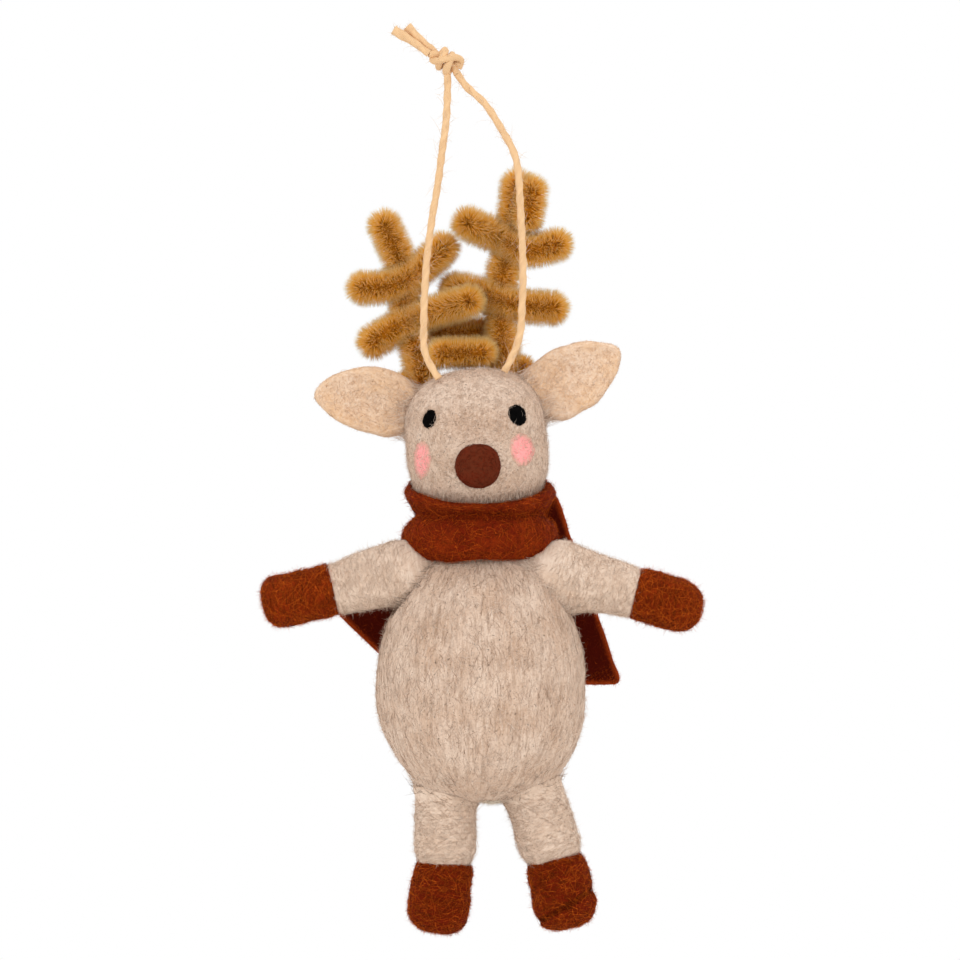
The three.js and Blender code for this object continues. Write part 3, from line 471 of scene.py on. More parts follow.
def pillow_mesh(name, shape, columns, rows):
    """A closed pillow from two layers that share their rim. shape(u, v, side) gives points for u and v from
    0 to 1, with side 1 for the upper layer, -1 for the lower one."""
    u, v = np.meshgrid(np.linspace(0, 1, columns), np.linspace(0, 1, rows), indexing="ij")
    rim = (u == 0) | (u == 1) | (v == 0) | (v == 1)
    upper = np.arange(columns * rows).reshape(columns, rows)
    lower = upper.copy()
    lower[~rim] = columns * rows + np.arange((~rim).sum())
    points = np.concatenate([shape(u.ravel(), v.ravel(), 1), shape(u[~rim], v[~rim], -1)])
    quads = []
    for layer, step in ((upper, 1), (lower, -1)):
        faces = np.stack([layer[:-1, :-1], layer[1:, :-1], layer[1:, 1:], layer[:-1, 1:]], axis=-1)
        quads.append(faces.reshape(-1, 4)[:, ::step])
    quads = np.concatenate(quads)
    return link_mesh(name, points, quads.ravel(), np.full(len(quads), 4))


def tube_mesh(name, path, reach, sides):
    """A closed tube along a line. reach(place, angle) is its radius, with place the distance along it.
    Returns the piece, and the place and angle of each of its points."""
    _, across, third = path_frames(path)
    walked = walked_along(path)
    place, angle = np.meshgrid(walked, np.linspace(0, FULL_TURN, sides, endpoint=False), indexing="ij")
    spoke = np.cos(angle)[..., None] * across[:, None] + np.sin(angle)[..., None] * third[:, None]
    rings = path[:, None] + reach(place, angle)[..., None] * spoke
    points = np.concatenate([rings.reshape(-1, 3), path[:1], path[-1:]])
    grid = np.arange(len(path) * sides).reshape(len(path), sides)
    after = np.roll(grid, -1, axis=1)
    quads = np.stack([grid[:-1], after[:-1], after[1:], grid[1:]], axis=-1).reshape(-1, 4)
    first = np.stack([after[0], grid[0], np.full(sides, grid.size)], axis=-1)
    last = np.stack([grid[-1], after[-1], np.full(sides, grid.size + 1)], axis=-1)
    corners = np.concatenate([quads.ravel(), first.ravel(), last.ravel()])
    sizes = np.concatenate([np.full(len(quads), 4), np.full(2 * sides, 3)])
    piece = link_mesh(name, points, corners, sizes)
    place = np.concatenate([place.ravel(), [0, walked[-1]]])
    angle = np.concatenate([angle.ravel(), [0, 0]])
    return piece, place, angle


class Surface:
    """The skin of a piece, in millimetres, for hairs to be set on."""

    def __init__(self, piece):
        self.points = points_of(piece)
        piece.data.calc_loop_triangles()
        faces = np.empty(len(piece.data.loop_triangles) * 3, np.int32)
        piece.data.loop_triangles.foreach_get("vertices", faces)
        self.faces = faces.reshape(-1, 3)
        self.tree = BVHTree.FromPolygons(self.points.tolist(), self.faces.tolist())

    def scatter(self, chance, count, keep=None):
        """Random places spread evenly over the skin, and the outward direction at each. keep says how
        likely each part of it is."""
        a, b, c = (self.points[self.faces[:, i]] for i in range(3))
        outward = np.cross(b - a, c - a)
        area = np.linalg.norm(outward, axis=1)
        if keep is not None:
            area = area * keep((a + b + c) / 3, unit(outward))
        picked = chance.choice(len(area), count, p=area / area.sum())
        first, second = chance.random((2, count, 1))
        fold = first + second > 1
        first, second = np.where(fold, 1 - first, first), np.where(fold, 1 - second, second)
        places = a[picked] + first * (b - a)[picked] + second * (c - a)[picked]
        return places, unit(outward)[picked]

    def settle(self, points, lift):
        """The places on the skin nearest to these points, lifted off it, and the outward direction there."""
        places = np.empty_like(points)
        outward = np.empty_like(points)
        for i, point in enumerate(points):
            places[i], outward[i] = self.tree.find_nearest(point)[:2]
        return places + outward * np.reshape(lift, (-1, 1)), outward


def laid_hairs(skin, starts, run, reach, lift, shares, bend):
    """Hairs laid over a skin in equal steps, each at its share of their lift, bending as they go."""
    spines = [starts]
    step = reach.reshape(-1, 1) / len(shares)
    for share in shares:
        here, up = skin.settle(spines[-1] + run * step, lift * share)
        run = unit(across_from(run, up))
        run = unit(run + np.cross(up, run) * bend)
        spines.append(here)
    return np.stack(spines, axis=1)


def lying_hairs(chance, skin, places, outward, way, reach, lift):
    """Hairs that lie on a skin. way(places, outward) is the direction they run in, and they stray from it."""
    count = len(places)
    run = unit(way(places, outward))
    turn = chance.normal(0, 0.45, (count, 1))
    run = unit(run * np.cos(turn) + np.cross(outward, run) * np.sin(turn))
    bend = chance.normal(0, 0.18, (count, 1))
    return laid_hairs(skin, places - outward * 0.12, run, reach, lift, (0.9, 0.5), bend)


def loose_hairs(chance, skin, places, outward, reach, lift):
    """Long hairs that hang loosely over a skin in all directions."""
    run = unit(np.cross(outward, chance.normal(size=places.shape)))
    bend = chance.normal(0, 0.45, (len(places), 1))
    return laid_hairs(skin, places - outward * 0.1, run, reach, lift, (0.6, 1.0, 0.8), bend)


def standing_hairs(chance, places, outward, reach):
    """Hairs that stand off a skin, leaning and curling by chance."""
    count = len(places)
    side = unit(np.cross(outward, chance.normal(size=(count, 3))))
    start = unit(outward + side * np.abs(chance.normal(0, 0.9, (count, 1))))
    bend = unit(chance.normal(size=(count, 3))) * 0.9
    reach = reach.reshape(-1, 1)
    middle = places + start * reach * 0.5 + bend * reach * 0.2
    tip = middle + unit(start + bend) * reach * 0.5
    return np.stack([places - outward * 0.1, middle, tip], axis=1)


def hair_pattern(rings):
    """The faces of one closed, three-sided hair: its corners and their number for each face, and how far
    across and up its map each corner lies."""
    corners, sizes, across, up = [0, 2, 1], [3], [0, 0.5, 1], [0, 0.04, 0]
    for ring in range(rings):
        for side in range(3):
            low = [ring * 3 + side, ring * 3 + (side + 1) % 3]
            left, right = side / 3, (side + 1) / 3
            if ring < rings - 1:
                corners += [*low, low[1] + 3, low[0] + 3]
                across += [left, right, right, left]
                up += [ring / rings] * 2 + [(ring + 1) / rings] * 2
                sizes.append(4)
            else:
                corners += [*low, rings * 3]
                across += [left, right, (left + right) / 2]
                up += [ring / rings, ring / rings, 1]
                sizes.append(3)
    return np.array(corners), sizes, np.array(across), np.array(up)


def hair_piece(name, tufts, look, seed):
    """One mesh of many closed, tapering hairs. Each tuft is (spines, thickness, tones), with spines as
    (hairs, points, 3). Each point keeps its hair's tone and its place along the hair for the material."""
    chance = np.random.default_rng(seed)
    gathered = []
    first = 0
    for spines, thickness, tones in tufts:
        hairs, stops = spines.shape[:2]
        rings = stops - 1
        ahead = unit(np.concatenate([np.diff(spines, axis=1), spines[:, -1:] - spines[:, -2:-1]], axis=1))
        start = unit(np.cross(ahead[:, 0], chance.normal(size=(hairs, 3))))[:, None]
        side = unit(start - ahead * (start * ahead).sum(axis=-1, keepdims=True))
        third = np.cross(ahead, side)
        taper = np.linspace(1, 0.5, rings)[None, :, None] * (np.asarray(thickness) / 2).reshape(-1, 1, 1)
        ring_points = []
        for corner in range(3):
            angle = FULL_TURN * corner / 3
            spoke = side[:, :rings] * math.cos(angle) + third[:, :rings] * math.sin(angle)
            ring_points.append(spines[:, :rings] + spoke * taper)
        body = np.stack(ring_points, axis=2).reshape(hairs, rings * 3, 3)
        corners, sizes, across, up = hair_pattern(rings)
        per_hair = rings * 3 + 1
        offsets = first + per_hair * np.arange(hairs)
        tones = np.clip(np.broadcast_to(tones, (hairs,)), 0, 1)
        along = np.concatenate([np.repeat(np.arange(rings) / rings, 3), [1]])
        # The map lays each hair out by its tone and its length, which is all that its colour depends on
        map_across = 0.01 + 0.93 * tones[:, None] + 0.05 * across[None]
        map_up = np.broadcast_to(0.01 + 0.98 * up, map_across.shape)
        gathered.append((
            np.concatenate([body, spines[:, -1:]], axis=1).reshape(-1, 3),
            (corners[None] + offsets[:, None]).ravel(),
            np.tile(sizes, hairs),
            np.repeat(tones, per_hair),
            np.tile(along, hairs),
            np.stack([map_across, map_up], axis=-1).reshape(-1, 2),
        ))
        first += hairs * per_hair
    points, corners, sizes, tones, along, maps = (np.concatenate(parts) for parts in zip(*gathered))
    piece = link_mesh(name, points, corners, sizes)
    layer = piece.data.uv_layers.new(name="OFBake")
    layer.data.foreach_set("uv", maps.astype(np.float32).ravel())
    return clad(piece, look, hair_tone=tones, hair_along=along)


def clad(piece, look, **attributes):
    """Gives a piece one of the materials, and each point the values that the material reads."""
    for name, values in attributes.items():
        kind, field = ("FLOAT_VECTOR", "vector") if values.ndim == 2 else ("FLOAT", "value")
        stored = piece.data.attributes.new(name, kind, "POINT")
        stored.data.foreach_set(field, values.astype(np.float32).ravel())
    piece.data.materials.append(material(look))
    return piece


def settle_piece(piece, body, replaces=()):
    """Says which body a piece moves with, and which solids it stands for."""
    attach(piece, body)
    if replaces:
        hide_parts(*replaces)
    return piece


def felt_piece(piece, points, look, body, slot, node, fill=None, **attributes):
    """Shapes a piece, gives it its material and settles it in the place of a solid."""
    set_points(piece, points)
    clad(piece, look, **attributes)
    return settle_piece(piece, body, [node])


def settle_hairs(name, tufts, look, seed, body):
    """Makes a piece of hairs and settles it."""
    return settle_piece(hair_piece(name, tufts, look, seed), body)


def add_node(owner, kind, inputs, **settings):
    """Adds one node. settings are its choices, inputs its sockets' values or the outputs linked to them."""
    tree = owner.node_tree
    made = tree.nodes.new(kind)
    for name, value in settings.items():
        setattr(made, name, value)
    for socket, value in inputs.items():
        if isinstance(value, bpy.types.NodeSocket):
            tree.links.new(value, made.inputs[socket])
        else:
            made.inputs[socket].default_value = value
    return made


def object_place(owner):
    """The place of a point in the piece's own frame, in metres."""
    return add_node(owner, "ShaderNodeTexCoord", {}).outputs["Object"]


def attribute(owner, name, output="Fac"):
    """A value that the piece's points carry."""
    return add_node(owner, "ShaderNodeAttribute", {}, attribute_name=name).outputs[output]


def noise(owner, place, scale, detail=2.0, **more):
    """A cloudy pattern from 0 to 1."""
    inputs = {"Vector": place, "Scale": scale, "Detail": detail, **more}
    return add_node(owner, "ShaderNodeTexNoise", inputs).outputs["Fac"]


def ranged(owner, value, low=0.0, high=1.0, start=0.0, end=1.0):
    """A value between low and high, spread from start to end."""
    inputs = {"Value": value, "From Min": low, "From Max": high, "To Min": start, "To Max": end}
    return add_node(owner, "ShaderNodeMapRange", inputs).outputs["Result"]


def reckoned(owner, operation, first, second):
    """The result of a sum with two values."""
    return add_node(owner, "ShaderNodeMath", {0: first, 1: second}, operation=operation).outputs["Value"]


def mixed(owner, share, first, second):
    """One colour with a share of another. Each is the name of a colour, an sRGB code or a node's output."""
    parts = []
    for part in (first, second):
        if isinstance(part, str):
            part = (*linear(part), 1) if part.startswith("#") else shade(part)
        parts.append(part)
    inputs = {0: share, 6: parts[0], 7: parts[1]}
    return add_node(owner, "ShaderNodeMix", inputs, data_type="RGBA").outputs[2]


def bumped(owner, height, strength, distance):
    """Normals for a fine relief of that many millimetres."""
    inputs = {"Height": height, "Strength": strength, "Distance": distance * MM}
    return add_node(owner, "ShaderNodeBump", inputs).outputs["Normal"]


def finish(owner, base, rough, **more):
    """Ends a material with its surface."""
    inputs = {"Base Color": base, "Roughness": rough}
    inputs.update({name.replace("_", " "): value for name, value in more.items()})
    shader = add_node(owner, "ShaderNodeBsdfPrincipled", inputs)
    add_node(owner, "ShaderNodeOutputMaterial", {"Surface": shader.outputs["BSDF"]})


def felted_wool(owner, middle, light, dark, fleck, streak_width, fleck_share, sheen):
    """Carded wool, felted or wound: matt, heathered by the shades that were carded together and streaked
    along the fibres. Its points carry comb, a place in millimetres that is pressed together along them."""
    comb = attribute(owner, "comb", "Vector")
    place = object_place(owner)
    # A fibre is 0.03 mm thick, too fine to show, so the streaks are drawn as wide as a lock of fibres
    streak = noise(owner, comb, 1 / streak_width, 4, Roughness=0.65)
    lock = noise(owner, comb, 0.35 / streak_width, 4, Distortion=0.4)
    # The blend shows as a grain of about 0.4 mm, in clouds of about 7 mm and in dark flecks of 0.4 mm
    grain = noise(owner, place, 2.4 / MM, 2, Roughness=0.6)
    cloud = noise(owner, place, 0.14 / MM, 3)
    speck = noise(owner, place, 1.7 / MM, 2, Roughness=0.6)
    base = mixed(owner, ranged(owner, cloud, 0.38, 0.66, end=0.45), middle, light)
    base = mixed(owner, ranged(owner, streak, 0.48, 0.72, end=0.65), base, light)
    base = mixed(owner, ranged(owner, lock, 0.5, 0.75, end=0.6), base, dark)
    base = mixed(owner, ranged(owner, grain, 0.48, 0.72, end=0.5), base, dark)
    specks = ranged(owner, speck, 0.76 - fleck_share, 0.84 - fleck_share, end=0.8)
    finish(
        owner, mixed(owner, specks, base, fleck), ranged(owner, streak, start=0.86),
        Normal=bumped(owner, streak, 0.4, 0.12), Specular_IOR_Level=0.05, Sheen_Weight=sheen,
        Sheen_Roughness=0.6, Sheen_Tint=shade(light),
    )


def needled_wool(owner, patch, ground, solid):
    """Dyed wool, needled or felted: full in the middle, thinning to single fibres of the ground at its rim.
    Its points carry rim, which is 0 in the middle and 1 at the edge; it is full up to the share solid."""
    rim = attribute(owner, "rim")
    # On the scarf's ends the paler ground at the rim is painted rim light
    # The fibres are drawn about 0.3 mm wide, as they would not show otherwise
    fibre = noise(owner, object_place(owner), 2.2 / MM, 3, Roughness=0.7)
    ragged = ranged(owner, fibre, 0.3, 0.7, -0.12, 0.12)
    bare = ranged(owner, reckoned(owner, "ADD", rim, ragged), solid, 1.02)
    finish(
        owner, mixed(owner, bare, patch, ground), ranged(owner, fibre, start=0.88),
        Normal=bumped(owner, fibre, 0.4, 0.12), Specular_IOR_Level=0.05,
    )


def loose_fibre(owner, dark, middle, light, tip):
    """Loose fibres of wool, felt or jute: each has one shade of the blend, and pales a little to its tip."""
    tone, along = attribute(owner, "hair_tone"), attribute(owner, "hair_along")
    base = mixed(owner, ranged(owner, tone, 0.0, 0.5), dark, middle)
    base = mixed(owner, ranged(owner, tone, 0.5, 1.0), base, light)
    base = mixed(owner, ranged(owner, along, end=tip), base, light)
    finish(owner, base, ranged(owner, along, start=0.95, end=0.75), Specular_IOR_Level=0.05)


def chenille_pile(owner):
    """Pile that pales along each hair, from painted shade at the root to painted light at the tip, and is
    deeper where a hair's tone is low.
    """
    tone, along = attribute(owner, "hair_tone"), attribute(owner, "hair_along")
    base = mixed(owner, ranged(owner, along, 0.0, 0.4), "pile_root_shade", "pile_middle")
    base = mixed(owner, ranged(owner, along, 0.5, 0.95), base, "pile_tip_light")
    base = mixed(owner, ranged(owner, tone, 0.0, 0.6, 0.3, 0.0), base, "pile_root_shade")
    finish(owner, base, ranged(owner, along, start=0.95, end=0.8), Specular_IOR_Level=0.05)


def jute_twine(owner):
    """Two twisted plies. Points carry ply, the place along a ply and across it in millimetres, and furrow,
    which is 1 between the plies."""
    ply = attribute(owner, "ply", "Vector")
    # Jute strands are 0.05 mm thick, drawn as 0.15 mm to show
    strand = noise(owner, ply, 1 / 0.15, 3, Roughness=0.6)
    patch = noise(owner, ply, 0.6, 2)
    base = mixed(owner, ranged(owner, strand, 0.35, 0.7), "jute_dark", "jute")
    base = mixed(owner, ranged(owner, patch, 0.4, 0.65, end=0.6), base, "jute")
    # Darker in the furrows between the plies: painted shade
    deep = reckoned(owner, "MULTIPLY", attribute(owner, "furrow"), 0.4)
    finish(
        owner, mixed(owner, deep, base, "jute_dark"), ranged(owner, strand, start=0.6, end=0.85),
        Normal=bumped(owner, strand, 0.6, 0.1), Specular_IOR_Level=0.25,
    )


def galvanised_wire(owner):
    """Zinc with a spangle about 0.5 mm across."""
    spangle = noise(owner, object_place(owner), 1 / (0.5 * MM), 3)
    base = mixed(owner, spangle, "#7d8083", "#a9adb0")
    finish(owner, base, ranged(owner, spangle, start=0.3, end=0.55), Metallic=1.0)


def painted_board(owner):
    """Board with a paper grain, drawn as 4 mm to show."""
    grain = noise(owner, object_place(owner), 1 / (4 * MM))
    finish(owner, mixed(owner, grain, "#ecebe8", "#f4f3f1"), 0.9)


# Each material by the name of the real one: how it is made, and its colours and shares
LOOKS = {
    # Pale and softly streaked, with brown locks and dark flecks
    "needle-felted greige wool": (felted_wool, "wool", "wool_light", "wool_dark", "fleck", 0.32, 0.12, 0.5),
    # The same blend drawn into a roving, paler and with fewer flecks
    "wound greige wool": (felted_wool, "roving", "wool_light", "wool", "wool_dark", 0.3, 0.07, 0.45),
    # Fibres that stand off the felt and catch the light at the outline
    "loose greige fibre": (loose_fibre, "wool_dark", "wool", "wool_light", 0.25),
    # The same fibres lifted from the winding, paler
    "loose roving fibre": (loose_fibre, "wool", "roving", "wool_light", 0.25),
    # Dark fibres laid along the creases where two pieces of wool meet, as painted shade
    "painted crease shade fibre": (loose_fibre, "fleck", "wool_dark", "wool", 0.0),
    # Deep brown-red between the fibres, orange where they catch the light
    "rust-dyed wool": (felted_wool, "rust", "rust_middle", "rust_dark", "rust_dark", 0.3, 0.05, 0.02),
    # The same wool on the boots, felted closer and deeper in colour
    "deep rust-dyed wool": (felted_wool, "scarf", "rust", "rust_dark", "scarf_dark", 0.3, 0.05, 0.02),
    # Bright orange threads over the deep wool
    "loose rust fibre": (loose_fibre, "rust_dark", "rust", "rust_light", 0.2),
    # Deep rust, close and matt, with brighter fibres across it
    "pressed rust felt": (felted_wool, "scarf", "rust_middle", "scarf_dark", "scarf_dark", 0.4, 0.04, 0.03),
    # The scarf's ends: darker, as painted shade of the body they hang behind, and paler along their cut
    # edges, as painted rim light
    "rust felt with painted shade and rim light": (needled_wool, "scarf_dark", "rust_middle", 0.5),
    # A dull orange bloom on the scarf
    "loose scarf fibre": (loose_fibre, "scarf_dark", "scarf", "scarf_light", 0.2),
    # Even, warm and close, with a faint mottle
    "pressed ear felt": (felted_wool, "ear", "wool_light", "ear_dark", "ear_dark", 0.4, 0.02, 0.15),
    # A short warm nap on the ears
    "loose ear fibre": (loose_fibre, "ear_dark", "ear", "wool_light", 0.15),
    # Nearly white and fluffy
    "unbleached core wool": (felted_wool, "core", "core", "wool_light", "wool", 0.5, 0.0, 0.2),
    # White wisps that blur the core
    "loose core fibre": (loose_fibre, "wool", "core", "core", 0.0),
    # The eyes: matt black, ragged at the edge
    "black needled wool": (needled_wool, "black", "wool", 1.0),
    # Short black fibres that roughen the eyes
    "loose black fibre": (loose_fibre, "black", "black", "black", 0.0),
    # The cheeks: a thin pink bloom that fades into the face
    "pink needled wool": (needled_wool, "pink", "wool", 0.62),
    # Pale fibres that carry the pink into the face
    "loose pink fibre": (loose_fibre, "pink", "pink", "wool_light", 0.3),
    # The nose: a tight brown ball, smoother than the rest
    "brown nose felt": (felted_wool, "nose", "scarf", "nose", "scarf_dark", 0.4, 0.0, 0.05),
    # A fine brown bloom on the nose
    "loose brown fibre": (loose_fibre, "nose", "nose", "scarf", 0.2),
    # Viscose pile: golden, deep brown between the roots as painted shade deep in the pile, and paler at the
    # tips as painted light that passes through them
    "chenille pile": (chenille_pile,),
    # Pale straw, darker in the furrows between the plies as painted shade, dry and matt with a slight gloss
    # along it
    "jute twine": (jute_twine,),
    # Straw-coloured hairs that stick out of the twine
    "loose jute fibre": (loose_fibre, "jute_dark", "jute", "wool_light", 0.1),
    # Grey and dull, inside the wool
    "galvanised steel wire": (galvanised_wire,),
    # A pale floor with hardly any grain
    "matt white board": (painted_board,),
}


def material(name):
    """One of the materials, made when it is first asked for."""
    if name not in bpy.data.materials:
        make, *look = LOOKS[name]
        made = bpy.data.materials.new(name)
        made.use_nodes = True
        made.node_tree.nodes.clear()
        make(made, *look)
    return bpy.data.materials[name]


def on_head(points):
    """Places given from the middle of the head, which rolls so that its right side sits higher."""
    return np.asarray(points) @ HEAD_TURN.T + HEAD_CENTRE


def from_head(points):
    """Places in the part's frame, as seen from the middle of the head."""
    return (np.asarray(points) - HEAD_CENTRE) @ HEAD_TURN


def blend_rise(gap, width):
    """How far a skin rises where another comes near it, so that the two run together."""
    return np.clip(width - np.abs(gap), 0, None) ** 2 / (4 * width)


def head_reach(way):
    """How far the head reaches from its middle along these directions: a rounded box with a muzzle."""
    across, along, height = np.abs(way / HEAD_HALF).T
    low = way[:, 2] < 0
    height = np.where(low, height * HEAD_HALF[2] / CHIN_HALF, height)
    power = np.where(low, JAW_POWER, CROWN_POWER)
    girth = (across ** HEAD_SQUARENESS + along ** HEAD_SQUARENESS) ** (power / HEAD_SQUARENESS)
    skull = (girth + height ** power) ** (-1 / power)
    # The muzzle is an ellipsoid, so a direction leaves it at the larger root of a square equation
    a = (way ** 2 / MUZZLE_HALF ** 2).sum(axis=1)
    b = (way * MUZZLE_CENTRE / MUZZLE_HALF ** 2).sum(axis=1)
    c = (MUZZLE_CENTRE ** 2 / MUZZLE_HALF ** 2).sum() - 1
    muzzle = (b + np.sqrt(b ** 2 - a * c)) / a
    return np.maximum(skull, muzzle) + blend_rise(skull - muzzle, MUZZLE_BLEND)


def clear_of_head(points, gap):
    """Moves points that lie in the head, or nearer to it than the gap, out to that gap."""
    from_middle = from_head(points)
    way = unit(from_middle)
    wanted = head_reach(way) + gap
    return on_head(way * np.maximum(np.linalg.norm(from_middle, axis=1), wanted)[:, None])


def about_neck(points, degrees):
    """Points turned about the upright line through the neck."""
    turn = math.radians(degrees)
    middle = np.array([*NECK_CENTRE, 0])
    across = np.array([[math.cos(turn), -math.sin(turn), 0], [math.sin(turn), math.cos(turn), 0], [0, 0, 1]])
    return (points - middle) @ across.T + middle


def above_scarf(places):
    """Whether places on the head are clear of the scarf's upper edge, which rises to the back."""
    return places[:, 2] > SCARF_TOP + SCARF_BACK_RISE * (places[:, 1] - NECK_CENTRE[1]) - 0.6


def arm_way(side, slope):
    """The direction of an arm that slopes down by so many degrees."""
    slope = math.radians(slope)
    return np.array([side * math.cos(slope), 0, -math.sin(slope)])


def leg_way(side, slant, swing=0):
    """The direction of a leg that slants outward and swings back by so many degrees."""
    slant, swing = math.radians(slant), math.radians(swing)
    down = math.cos(slant)
    return np.array([side * math.sin(slant), down * math.sin(swing), -down * math.cos(swing)])


def limb_balls():
    """Balls that fill the room that the arms and legs need through their whole swing: (centre, radius)."""
    balls = []
    shares = np.linspace(0, 1, SWING_STEPS)
    for arm in ARMS.values():
        for slope in np.linspace(arm["slope"] - ARM_RAISE, arm["slope"] + ARM_LOWER, SWING_STEPS):
            way = arm_way(arm["side"], slope)
            for share in shares:
                radius = ARM_ROOT + (ARM_WRIST - ARM_ROOT) * share
                balls.append((np.array(arm["pivot"]) + way * arm["cuff"] * share, radius + SWING_GAP))
    for leg in LEGS.values():
        for swing in np.linspace(-LEG_FORWARD, LEG_BACK, SWING_STEPS):
            way = leg_way(leg["side"], leg["slant"], swing)
            for share in shares:
                balls.append((np.array(leg["hip"]) + way * leg["ankle"] * share, LEG_RADIUS + SWING_GAP))
    return balls


def torso_reach(way):
    """How far the torso reaches from its middle along these directions: an egg with a neck."""
    up = way[:, 2] > 0
    power = np.where(up, TORSO_TOP_POWER, TORSO_BOTTOM_POWER)
    level = ((way[:, 0] / TORSO_HALF_WIDTH) ** 2 + (way[:, 1] / TORSO_HALF_DEPTH) ** 2) ** (power / 2)
    level += np.abs(way[:, 2] / np.where(up, TORSO_TOP, TORSO_BOTTOM)) ** power
    reach = level ** (-1 / power)
    offset = np.array(NECK_CENTRE) - TORSO_CENTRE[:2]
    flat = (way[:, :2] ** 2).sum(axis=1) + 1e-9
    toward = (way[:, :2] * offset).sum(axis=1)
    side = (toward + np.sqrt(toward ** 2 + flat * (NECK_RADIUS ** 2 - offset.dot(offset)))) / flat
    top = (NECK_TOP - TORSO_CENTRE[2]) / np.maximum(way[:, 2], 1e-6)
    neck = np.where(up, np.minimum(side, top), 0)
    return np.maximum(reach, neck)


def hollow_for_limbs(way, reach):
    """Cuts a reach back to where its direction first meets the room of a limb."""
    for centre, radius in limb_balls():
        offset = centre - TORSO_CENTRE
        toward = way @ offset
        inside = toward ** 2 - (offset.dot(offset) - radius ** 2)
        entry = toward - np.sqrt(np.maximum(inside, 0))
        reach = np.where((inside > 0) & (entry > 0), np.minimum(reach, entry), reach)
    return reach


def limb_gaps(points):
    """How far points lie from each limb where it leaves the torso, and how wide the wool blends there."""
    limbs = []
    for arm in ARMS.values():
        line = (np.array(arm["pivot"]), arm_way(arm["side"], arm["slope"]), ARM_ROOT - ARM_INNER, arm["cuff"])
        limbs.append((*line, ARM_ROOT, ARM_WRIST, arm["blend"]))
    for leg in LEGS.values():
        line = (np.array(leg["hip"]), leg_way(leg["side"], leg["slant"]), 0, leg["ankle"])
        limbs.append((*line, LEG_RADIUS, LEG_RADIUS, LEG_BLEND))
    found = []
    for start, way, low, high, first, last, width in limbs:
        along = np.clip((points - start) @ way, low, high)
        radius = first + (last - first) * np.clip(along, 0, None) / high
        found.append((np.linalg.norm(points - start - along[:, None] * way, axis=1) - radius, width))
    return found


def any_way(seed):
    """A run of fibres in all directions, as needling leaves them."""
    chance = np.random.default_rng(seed)
    return lambda places, outward: np.cross(outward, chance.normal(size=places.shape))


def round_way(axis):
    """A run of fibres round a limb, as winding leaves them."""
    return lambda places, outward: np.cross(np.broadcast_to(axis, outward.shape), outward) + 1e-6


def upright_way(places, outward):
    """A run of fibres from the neck down over the body."""
    up = np.broadcast_to(np.array([0.0, 0.0, 1.0]), outward.shape)
    return across_from(up, outward) + 1e-6


def wool_fuzz(
    piece, body, slot, look, seed, way, reach, lying, standing, loose=0, keep=None, outline=None, stand=1.0,
    middle=0.7, spread=0.2, flecks=0.07, pale=0.85, thin=1.0, lock=1.6,
):
    """Sets hairs on a piece: some lie along the run of its fibres, some stand off it and some hang loosely
    over it. keep and, for those that stand, outline say where they may be. middle and spread give the tones
    of those that lie, flecks is the share of dark ones, by place or everywhere, and pale the tone of the
    others. thin is their thickness, and lock that of those that lie, beside the wool hairs elsewhere."""
    chance = np.random.default_rng(seed)
    skin = Surface(piece)
    hair = millimetres("hair")
    places, outward = skin.scatter(chance, lying, keep)
    lift = 0.03 + 0.7 * chance.beta(0.8, 9, lying)
    # Where flecks is given by place, its dark hairs are painted shade in creases and under the scarf, beside
    # the real dark flecks
    dark = chance.random(lying) < (flecks(places) if callable(flecks) else flecks)
    lengths = reach * chance.uniform(0.5, 1.5, lying) * np.where(dark, 0.4, 1)
    spines = lying_hairs(chance, skin, places, outward, way, lengths, lift)
    tones = middle + spread * chance.normal(size=lying) + 0.1 * lumps(places, 6, seed)
    thickness = hair * lock * chance.uniform(0.6, 1.2, lying)
    tufts = [(spines, thickness, np.where(dark, 0.05, tones))]
    places, outward = skin.scatter(chance, standing, outline or keep)
    heights = millimetres("fuzz") * stand * (0.2 + chance.beta(1.4, 3.2, standing) * 1.5)
    spines = standing_hairs(chance, places, outward, heights)
    tones = pale + 0.14 * chance.normal(size=standing)
    tufts.append((spines, hair * thin * chance.uniform(0.5, 0.85, standing), tones))
    if loose:
        places, outward = skin.scatter(chance, loose, keep)
        lift = stand * (0.15 + 0.8 * chance.beta(1.2, 2.5, loose))
        spines = loose_hairs(chance, skin, places, outward, chance.uniform(2.5, 6.5, loose), lift)
        tones = pale + 0.18 * chance.normal(size=loose)
        tufts.append((spines, hair * thin * chance.uniform(0.5, 0.8, loose), tones))
    settle_hairs(f"{piece.name}_fuzz", tufts, look, seed, body)


def joining_fuzz(
    name, piece, other, body, look, seed, toward, count, keep=lambda places: True, reach=1.7, tone=0.85
):
    """Wool hairs that run from a piece over the crease where it meets another. keep says where they may
    start."""
    chance = np.random.default_rng(seed)
    skin, trunk = Surface(piece), Surface(other)

    def by_the_crease(places, outward):
        """Hairs start within a short way of the other piece."""
        near, _ = trunk.settle(places, 0.0)
        return (np.linalg.norm(places - near, axis=1) < 2.2) & keep(places)

    places, outward = skin.scatter(chance, count, by_the_crease)
    run = unit(np.asarray(toward) + 0.45 * chance.normal(size=(count, 3)))
    step = reach * chance.uniform(0.4, 1.1, (count, 1))
    lift = chance.uniform(0.1, 0.5, (count, 1))
    spines = [places - outward * 0.1]
    for share in (1.0, 1.0, 0.4):
        here = spines[-1] + run * step
        near, up = trunk.settle(here, 0.0)
        off = ((here - near) * up).sum(axis=1, keepdims=True)
        here = np.where(off < lift * share, near + up * lift * share, here - up * (off - lift * share) * 0.35)
        run = unit(here - spines[-1])
        spines.append(here)
    tones = tone + 0.22 * chance.normal(size=count)
    thickness = millimetres("hair") * chance.uniform(0.6, 1.1, count)
    settle_hairs(name, [(np.stack(spines, axis=1), thickness, tones)], look, seed, body)


